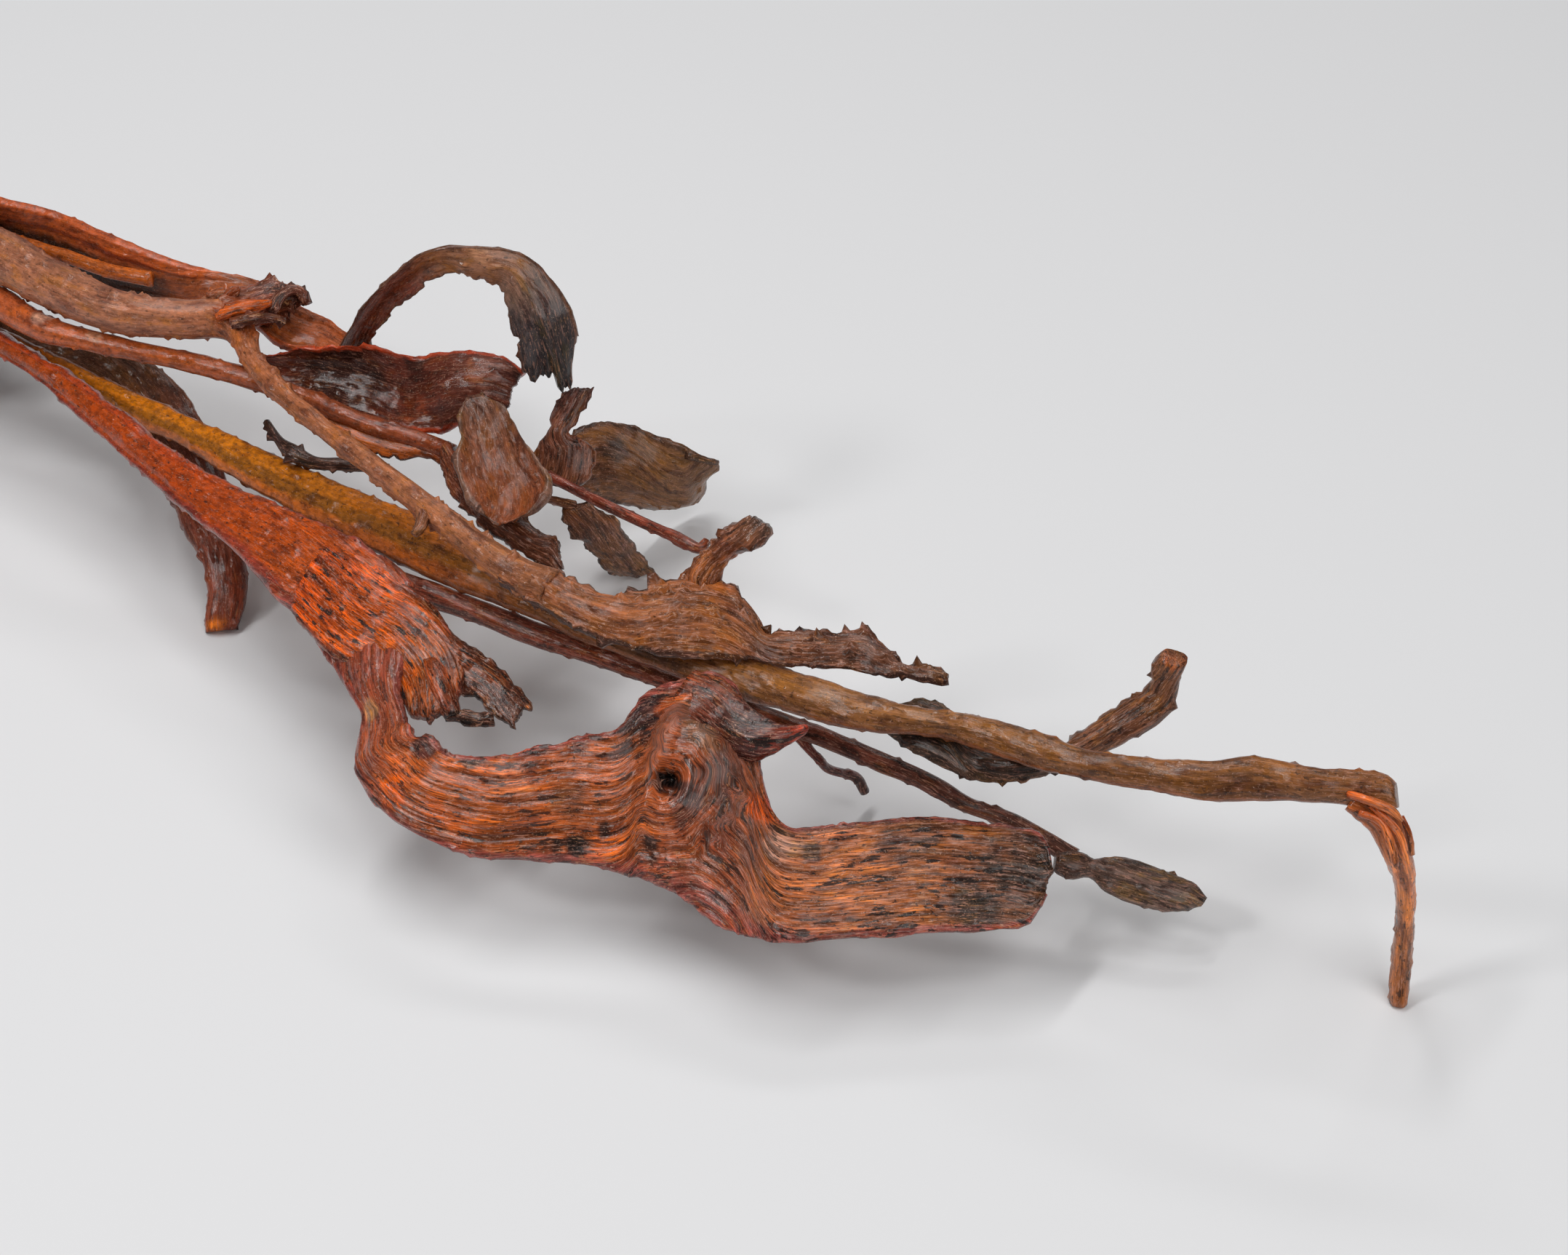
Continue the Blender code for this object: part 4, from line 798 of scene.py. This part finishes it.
def fan_strand():
    stalk = Skin(FAN_STALK, 21).smoothed([(0, 0.35), (1, 0.45)]).weather(fibre=0.2, lump=0.5, wart=0.6)
    stalk.paint(
        [(0, 0x9E6246), (0.4, 0xA86A4C), (0.5, 0xAA623C), (0.8, 0xA06240), (1, 0x965C3A)],
        patches=[((-68, 16, 53), 6, 0xA04C20, 0.8)],
    )
    knot = Skin(FAN_KNOT, 22).weather(fibre=0.4, lump=1.6, wart=1.4)
    knot.paint(
        [(0, 0x964E2A), (0.5, 0x783A26), (1, 0x46261E)],
        patches=[((-68.3, 17, 54), 4, 0xCD5C20, 0.9)],
    )
    blade = Skin(FAN_BLADE, 23, thin=0.75, slab=0.55, rim=0.3, ragged=(1.7, 0.5), tooth=3.8, torn=1.5)
    blade.smoothed([(0, 0.6), (0.5, 0.9), (1, 0.6)]).weather(fibre=0.26, lump=1.2, wart=1.3)
    blade.paint(
        [(0, 0x965A3A), (0.4, 0x8E522E), (0.7, 0x74442C), (1, 0x5C3C2E)],
        rim=0x3E2620,
        patches=[((70, 3, 44), 6, 0xB0602A, 0.6), ((58, -7, 41), 6, 0xAA785C, 0.5)],
    )
    antler = Skin(FAN_ANTLER, 24, thin=0.9, slab=0.7, ragged=(1.0, 0.8), tooth=2.2, torn=1.2)
    antler.weather(fibre=0.2, lump=0.8, wart=0.9)
    antler.paint([(0, 0x96562E), (0.6, 0x8A4E30), (1, 0x543C30)])
    slivers = [
        Skin(path, 25 + i).weather(fibre=0.25, lump=0.9, wart=0.8) for i, path in enumerate(KNOT_SLIVERS)
    ]
    sliver_tones = [0x5A3024, 0xCD5C1E, 0x542C22, 0x964826]
    nub = Skin(STALK_NUB, 29).weather(fibre=0.2, lump=0.5, wart=0.5)
    piece(
        "fan_strand", "bark_brown", stalk, knot, blade, antler, nub.paint([(0, 0x965C3A), (1, 0x784E3A)]),
        *[sliver.paint([(0, tone), (1, tone)]) for sliver, tone in zip(slivers, sliver_tones)],
    )


def leafy_strand():
    stalk = Skin(LEAFY_STALK, 31).smoothed([(0, 0.15), (1, 0.3)]).weather(fibre=0.12, lump=0.4, wart=0.35)
    stalk.paint(
        [(0, 0xAF4E24), (0.4, 0xB65A30), (0.7, 0xA0502C), (1, 0x803A20)],
        patches=[((-113.2, -0.9, 45.1), 2.6, 0xE1AA8C, 0.8), ((-99, 1, 44), 2, 0xD7966E, 0.6)],
    )
    cup = Skin(CUP_LEAF, 32, thin=0.7, slab=0.5, rim=0.35, ragged=(0.9, 0.4), tooth=4, torn=1)
    cup.swell((-30, 22, 47), 9, -2.5).swell((-18, 22, 47), 5, 1.6).swell((-38, 18, 44), 3, 1.2)
    cup.smoothed([(0, 0.5), (1, 0.6)]).weather(fibre=0.16, lump=1.3, wart=0.4)
    cup.paint(
        [(0, 0x682A18), (0.3, 0x3C1911), (0.6, 0x58261A), (1, 0x5C2E22)],
        rim=0xB44222,
        patches=[((-42, 19, 44), 9, 0x2C140F, 0.85), ((-24, 18, 45), 5, 0x8C4228, 0.6),
                 ((-11, 30, 52), 5, 0x7A4434, 0.8), ((-28, 27, 50), 3.5, 0x301812, 0.8)],
    )
    under = Skin(UNDER_BLADE, 33, thin=0.7, slab=0.6, ragged=(0.2, 1.8), tooth=2.4)
    under.weather(fibre=0.1, lump=0.3, wart=0.3)
    under.paint([(0, 0xB95C18), (1, 0x823C1A)], rim=0x32201A)
    tail = Skin(TAIL_BLADE, 34, thin=0.8, slab=0.55, rim=0.2, ragged=(1.2, 1.0), tooth=2.4, torn=1.5)
    tail.weather(fibre=0.18, lump=0.7, wart=0.4)
    tail.paint([(0, 0x6E3824), (1, 0x583222)], rim=0x3C241C)
    piece("leafy_strand", "russet_gloss", stalk, cup, under, tail)


def stem(path, seed):
    thin = Skin(path, seed).weather(fibre=0.08, lump=0.2, wart=0.2)
    return thin.paint([(0, 0x5C3626), (1, 0x542C20)])


def front_leaf():
    leaf = Skin(FRONT_LEAF, 41, thin=0.7, slab=0.5, rim=0.5, ragged=(0.7, 0.5), tooth=2.5, torn=1)
    leaf.smoothed([(0, 0.35), (1, 0.5)]).weather(fibre=0.2, lump=1.2, wart=0.7)
    leaf.paint([(0, 0x6C4838), (0.5, 0x7A442C), (1, 0x844222)], rim=0x705244)
    piece("front_leaf", "leaf_brown", leaf, stem(FRONT_STEM, 42))


def flag_leaf():
    leaf = Skin(FLAG_LEAF, 44, thin=0.75, slab=0.5, rim=0.2, ragged=(1.4, 1.4), tooth=2.2, torn=1.5)
    leaf.weather(fibre=0.2, lump=1.1, wart=0.5)
    leaf.paint([(0, 0x6E422E), (0.5, 0x623626), (1, 0x4A2A24)])
    piece("flag_leaf", "dark_blade", leaf, stem(FLAG_STEM, 45))


def back_leaf():
    leaf = Skin(BACK_LEAF, 47, thin=0.7, slab=0.5, rim=0.3, ragged=(0.5, 0.7), tooth=3, torn=1)
    leaf.smoothed([(0, 0.5), (1, 0.6)]).weather(fibre=0.18, lump=1.2, wart=0.4)
    leaf.paint(
        [(0, 0x643C26), (0.5, 0x845836), (1, 0x704E36)],
        rim=0x503628,
        patches=[((11, 47, 29), 4, 0x2C1C16, 0.8)],
    )
    tail = Skin(BACK_TAIL, 48).weather(fibre=0.1, lump=0.2, wart=0.2)
    tail.paint([(0, 0x543A2C), (1, 0x4A362C)])
    piece("back_leaf", "leaf_brown", leaf, tail, stem(BACK_STEM, 46))


def lower_leaf():
    leaf = Skin(LOWER_LEAF, 49, thin=0.75, slab=0.5, rim=0.2, ragged=(1.2, 1.5), tooth=2.4, torn=2)
    leaf.weather(fibre=0.18, lump=0.9, wart=0.4)
    leaf.paint([(0, 0x683C26), (1, 0x7C5436)], rim=0x4A3226)
    piece("lower_leaf", "leaf_brown", leaf, stem(LOWER_STEM, 50))


def twigs():
    red = Skin(RED_TWIG, 51).weather(fibre=0.08, lump=0.25, wart=0.3)
    red.paint([(0, 0x703024), (1, 0x8C422E)])
    piece("red_twig", "red_bark", red, stem(RED_STEM, 52))
    dark = Skin(DARK_TWIG, 53).weather(fibre=0.15, lump=0.7, wart=0.9)
    piece("dark_twig", "dark_blade", dark.paint([(0, 0x3A2622), (1, 0x462E24)]))


def footed_strand():
    blade = Skin(FOOTED_STRAND, 61, slab=0.7, rim=0.25, ragged=(0.35, 0.25), tooth=6)
    blade.smoothed([(0, 0.1), (0.35, 0.15), (0.5, 0.5), (1, 0.7)]).weather(fibre=0.16, lump=0.5, wart=0.35)
    blade.paint(
        [(0, 0x82401A), (0.18, 0xC87412), (0.34, 0xC47012), (0.46, 0xA85C1E), (0.6, 0x9E683C),
         (0.8, 0x8A5A32), (1, 0x7E4E2C)],
        rim=0x8C4E28,
        bands=[(-0.5, 0.1, 0.14, 0.52, 0x784A16, 0.7), (-1.2, -0.5, 0.1, 0.5, 0xB05828, 0.7),
               (-1.2, -0.2, 0.5, 1.0, 0x6C4224, 0.6)],
    )
    leg = Skin(FOOT_LEG, 62, slab=0.8, ragged=(0.3, 0.3)).weather(fibre=0.2, lump=0.3, wart=0.2)
    leg.paint([(0, 0xB45E2E), (0.5, 0xC67440), (1, 0xA5623A)])
    splinters = [
        Skin(path, 63 + i).weather(fibre=0.15, lump=0.2, wart=0.1) for i, path in enumerate(FOOT_SPLINTERS)
    ]
    piece(
        "footed_strand", "amber_gloss", blade, leg,
        *[splinter.paint([(0, 0xC35824), (1, 0xD27A42)]) for splinter in splinters],
    )


def hooked_strand():
    blade = Skin(HOOKED_STRAND, 71, thin=0.9, slab=0.7, ragged=(0.9, 0.3), tooth=3)
    blade.weather(fibre=0.18, lump=0.5, wart=0.6)
    blade.paint(
        [(0, 0x46362C), (0.45, 0x523A2C), (0.7, 0x6E4430), (1, 0x744A32)],
        patches=[((163, 17, 61), 3.2, 0xCD5822, 0.95)],
    )
    piece("hooked_strand", "dark_blade", blade)


def twig_strand():
    stalk = Skin(TWIG_STALK, 81).weather(fibre=0.1, lump=0.4, wart=0.3)
    stalk.paint([(0, 0x6E3426), (0.6, 0x763A2A), (1, 0x5A382E)])
    tip = Skin(OVAL_TIP, 82, thin=0.9, slab=0.7, ragged=(0.3, 0.4)).weather(fibre=0.2, lump=0.5, wart=0.5)
    tip.paint([(0, 0x543A30), (0.5, 0x685248), (1, 0x5C4A42)])
    twiglet = Skin(TWIGLET, 83).weather(fibre=0.1, lump=0.4, wart=0.4)
    twiglet.paint([(0, 0x6E2D23), (1, 0x462620)])
    piece("twig_strand", "red_bark", stalk, tip, twiglet)


def strap_strand():
    band = Skin(STRAP_STALK, 91, thin=0.85, slab=0.6, rim=0.5, ragged=(0.9, 0.15), tooth=5, torn=1.0)
    band.swirl(EYE, HOOD_RIDGE, 17)
    band.ridge(HOOD_RIDGE, 2.2, 1.5)
    band.swell((76.0, -38.5, 37), 4.5, -1.6, squash=(1, 1, 3))
    band.swell((89.5, -32, 40), 4.5, 2.0, squash=(1, 1, 3))
    band.swell((90.5, -44, 33), 3.5, 1.0, squash=(1, 1, 3))
    band.swell(EYE, 2.2, -6, squash=(1, 1.2, 4))
    band.swell((88.0, -42.5, 34), 1.3, -2.5, squash=(1.2, 1, 4))
    band.swell((83.6, -39.2, 34), 1.0, 1.6, squash=(1, 1.5, 4))
    band.groove(-0.75, 0.6, 0.8)
    band.smoothed([(0, 0.1), (0.34, 0.15), (0.45, 0.7), (0.52, 0.5), (0.6, 0.9), (0.8, 0.9), (0.9, 1)])
    band.weather(fibre=0.34, lump=0.5, wart=0.3)
    band.paint(
        [(0, 0x8C3818), (0.15, 0xA4420E), (0.3, 0xAC4008), (0.42, 0xB2480A), (0.5, 0x8C3C22),
         (0.56, 0xA04A2C), (0.62, 0xB05424), (0.72, 0xA85226), (0.8, 0x8C4428), (0.88, 0xAC623A),
         (0.94, 0x8C502E), (1, 0x54382A)],
        rim=0x92443A, under=0x6E3824,
        bands=[(-1.2, -0.72, 0.1, 0.56, 0x8A342C, 0.8), (0.5, 1.2, 0.0, 0.3, 0xB44220, 0.6),
               (-1.2, -0.84, 0.56, 0.86, 0xA04E44, 0.85)],
        patches=STRAP_ZONES,
    )
    lobe = Skin(STRAP_LOBE, 92, thin=0.75, slab=0.55, rim=0.3, ragged=(0.4, 0.6), tooth=4, torn=2)
    lobe.weather(fibre=0.26, lump=0.5, wart=0.25)
    lobe.paint(
        [(0, 0xBE4606), (0.45, 0xC0500C), (0.7, 0xA54E1A), (1, 0x7C3C20)],
        rim=0x703222, under=0x6E361E,
        patches=[((-6, -19, 37), 4, 0x602E28, 0.8), ((8, -22, 35.5), 3.5, 0x422220, 0.8),
                 ((-2, -26, 36), 3, 0xE26028, 0.7), ((22, -42, 30), 4, 0xC45416, 0.7)],
    )
    flap = Skin(STRAP_FLAP, 94, thin=0.7, slab=0.6, rim=0.15, ragged=(1.0, 1.2), tooth=2.2, torn=2)
    flap.weather(fibre=0.2, lump=0.6, wart=0.45)
    flap.paint(
        [(0, 0xBE5412), (0.4, 0x703418), (0.8, 0x4E2618), (1, 0x422216)],
        rim=0x42281E, under=0x502C1E,
        patches=[((48, -34, 29), 1.4, 0xD67A3C, 0.9)],
    )
    fringe = Skin(STRAP_FRINGE, 96, thin=0.7, slab=0.7, ragged=(0.8, 0.8), tooth=1.8, torn=0.8)
    fringe.weather(fibre=0.15, lump=0.5, wart=0.5)
    curl = Skin(STRAP_CURL, 97, torn=0.8).weather(fibre=0.22, lump=0.6, wart=0.2)
    curl.paint([(0, 0x96421A), (0.6, 0x8C3E1E), (0.93, 0x703420), (0.95, 0x160C0A), (1, 0x0C0808)])
    horn = Skin(STRAP_HORN, 93, thin=0.8, slab=0.6, ragged=(0.4, 0.5), tooth=3)
    horn.weather(fibre=0.24, lump=0.6, wart=0.3)
    horn.paint(
        [(0, 0x823A1E), (0.3, 0x5C2C20), (0.6, 0x42221E), (0.85, 0x7C2E20), (1, 0xB0422C)],
        patches=[((88, -21, 44), 4, 0x783820, 0.7)],
    )
    piece(
        "strap_strand", "orange_gloss", band, lobe, flap, fringe.paint([(0, 0x3C241E), (1, 0x462A20)]),
        curl, horn,
    )


def prop_strand():
    prop = Skin(PROP_STRAND, 95, slab=0.75, rim=0.2, ragged=(0.3, 0.5), tooth=4)
    prop.smoothed([(0, 0.4), (1, 0.6)]).weather(fibre=0.16, lump=0.7, wart=0.5)
    prop.paint(
        [(0, 0x503022), (0.5, 0x5C3C2A), (0.8, 0x763828), (1, 0x7C3824)],
        patches=[((-46.8, -25.5, 1.5), 3.2, 0xE17624, 0.95)],
    )
    piece("prop_strand", "red_bark", prop)


# ---------------------------------------------------------------- floor, light and camera

# Metres and degrees: what the camera and the lights point at, where the camera stands, and its lens.
AIM = Vector((0.077, 0.014, 0.030))
CAMERA_AZIMUTH, CAMERA_ELEVATION, CAMERA_DISTANCE = 33, 40, 0.629
LENS_MM, SENSOR_MM, FARTHEST_SEEN = 70, 36, 20
FLOOR_REACH = 3
FLOOR_GREY, FLOOR_ROUGHNESS = (0.80, 0.80, 0.81, 1), 0.6
WORLD_STRENGTH = 0.10
# Each light's azimuth, elevation, distance, two sides in metres, and power in watts.
SOFTBOXES = {
    "key": (72, 50, 1.3, (1.0, 1.0), 8.0),
    "overhead": (-90, 68, 1.4, (1.2, 0.12), 8.0),
    "front": (-35, 42, 1.3, (0.25, 0.20), 3.2),
    "back": (208, 44, 1.5, (0.9, 0.12), 2.4),
}


def floor():
    mesh = bpy.data.meshes.new("floor")
    corners = [(x * FLOOR_REACH, y * FLOOR_REACH, 0) for x, y in ((-1, -1), (1, -1), (1, 1), (-1, 1))]
    mesh.from_pydata(corners, [], [(0, 1, 2, 3)])
    made = bpy.data.objects.new("floor", mesh)
    bpy.context.scene.collection.objects.link(made)
    card = bpy.data.materials.new("floor_card")
    card.use_nodes = True
    shader = card.node_tree.nodes.get("Principled BSDF")
    shader.inputs["Base Color"].default_value = FLOOR_GREY
    shader.inputs["Roughness"].default_value = FLOOR_ROUGHNESS
    mesh.materials.append(card)


def direction(azimuth, elevation):
    """From the object towards a light or camera: azimuth 0 is the -Y side, and it turns towards +X."""
    a, e = np.radians((azimuth, elevation))
    return Vector((np.sin(a) * np.cos(e), -np.cos(a) * np.cos(e), np.sin(e)))


def softbox(name, azimuth, elevation, distance, size, power):
    light = bpy.data.lights.new(name, "AREA")
    light.shape = "RECTANGLE"
    light.size, light.size_y = size
    light.energy = power
    made = bpy.data.objects.new(name, light)
    made.location = AIM + distance * direction(azimuth, elevation)
    made.rotation_euler = (AIM - made.location).to_track_quat("-Z", "Y").to_euler()
    bpy.context.scene.collection.objects.link(made)


def lights():
    for name, places in SOFTBOXES.items():
        softbox(name, *places)
    world = bpy.data.worlds.new("studio")
    bpy.context.scene.world = world
    world.use_nodes = True
    background = world.node_tree.nodes.get("Background")
    background.inputs["Color"].default_value = (1, 1, 1, 1)
    background.inputs["Strength"].default_value = WORLD_STRENGTH


def camera():
    lens = bpy.data.cameras.new("camera")
    lens.lens, lens.sensor_width, lens.clip_end = LENS_MM, SENSOR_MM, FARTHEST_SEEN
    made = bpy.data.objects.new("camera", lens)
    made.location = AIM + CAMERA_DISTANCE * direction(CAMERA_AZIMUTH, CAMERA_ELEVATION)
    made.rotation_euler = (AIM - made.location).to_track_quat("-Z", "Y").to_euler()
    bpy.context.scene.collection.objects.link(made)
    bpy.context.scene.camera = made


for make in (
    crown, arching_strand, inner_stub, fan_strand, leafy_strand, front_leaf, flag_leaf, back_leaf, lower_leaf,
    twigs, footed_strand, hooked_strand, twig_strand, strap_strand, prop_strand, floor, lights, camera,
):
    make()
bpy.context.scene.view_settings.view_transform = "Standard"

bpy.context.view_layer.update()
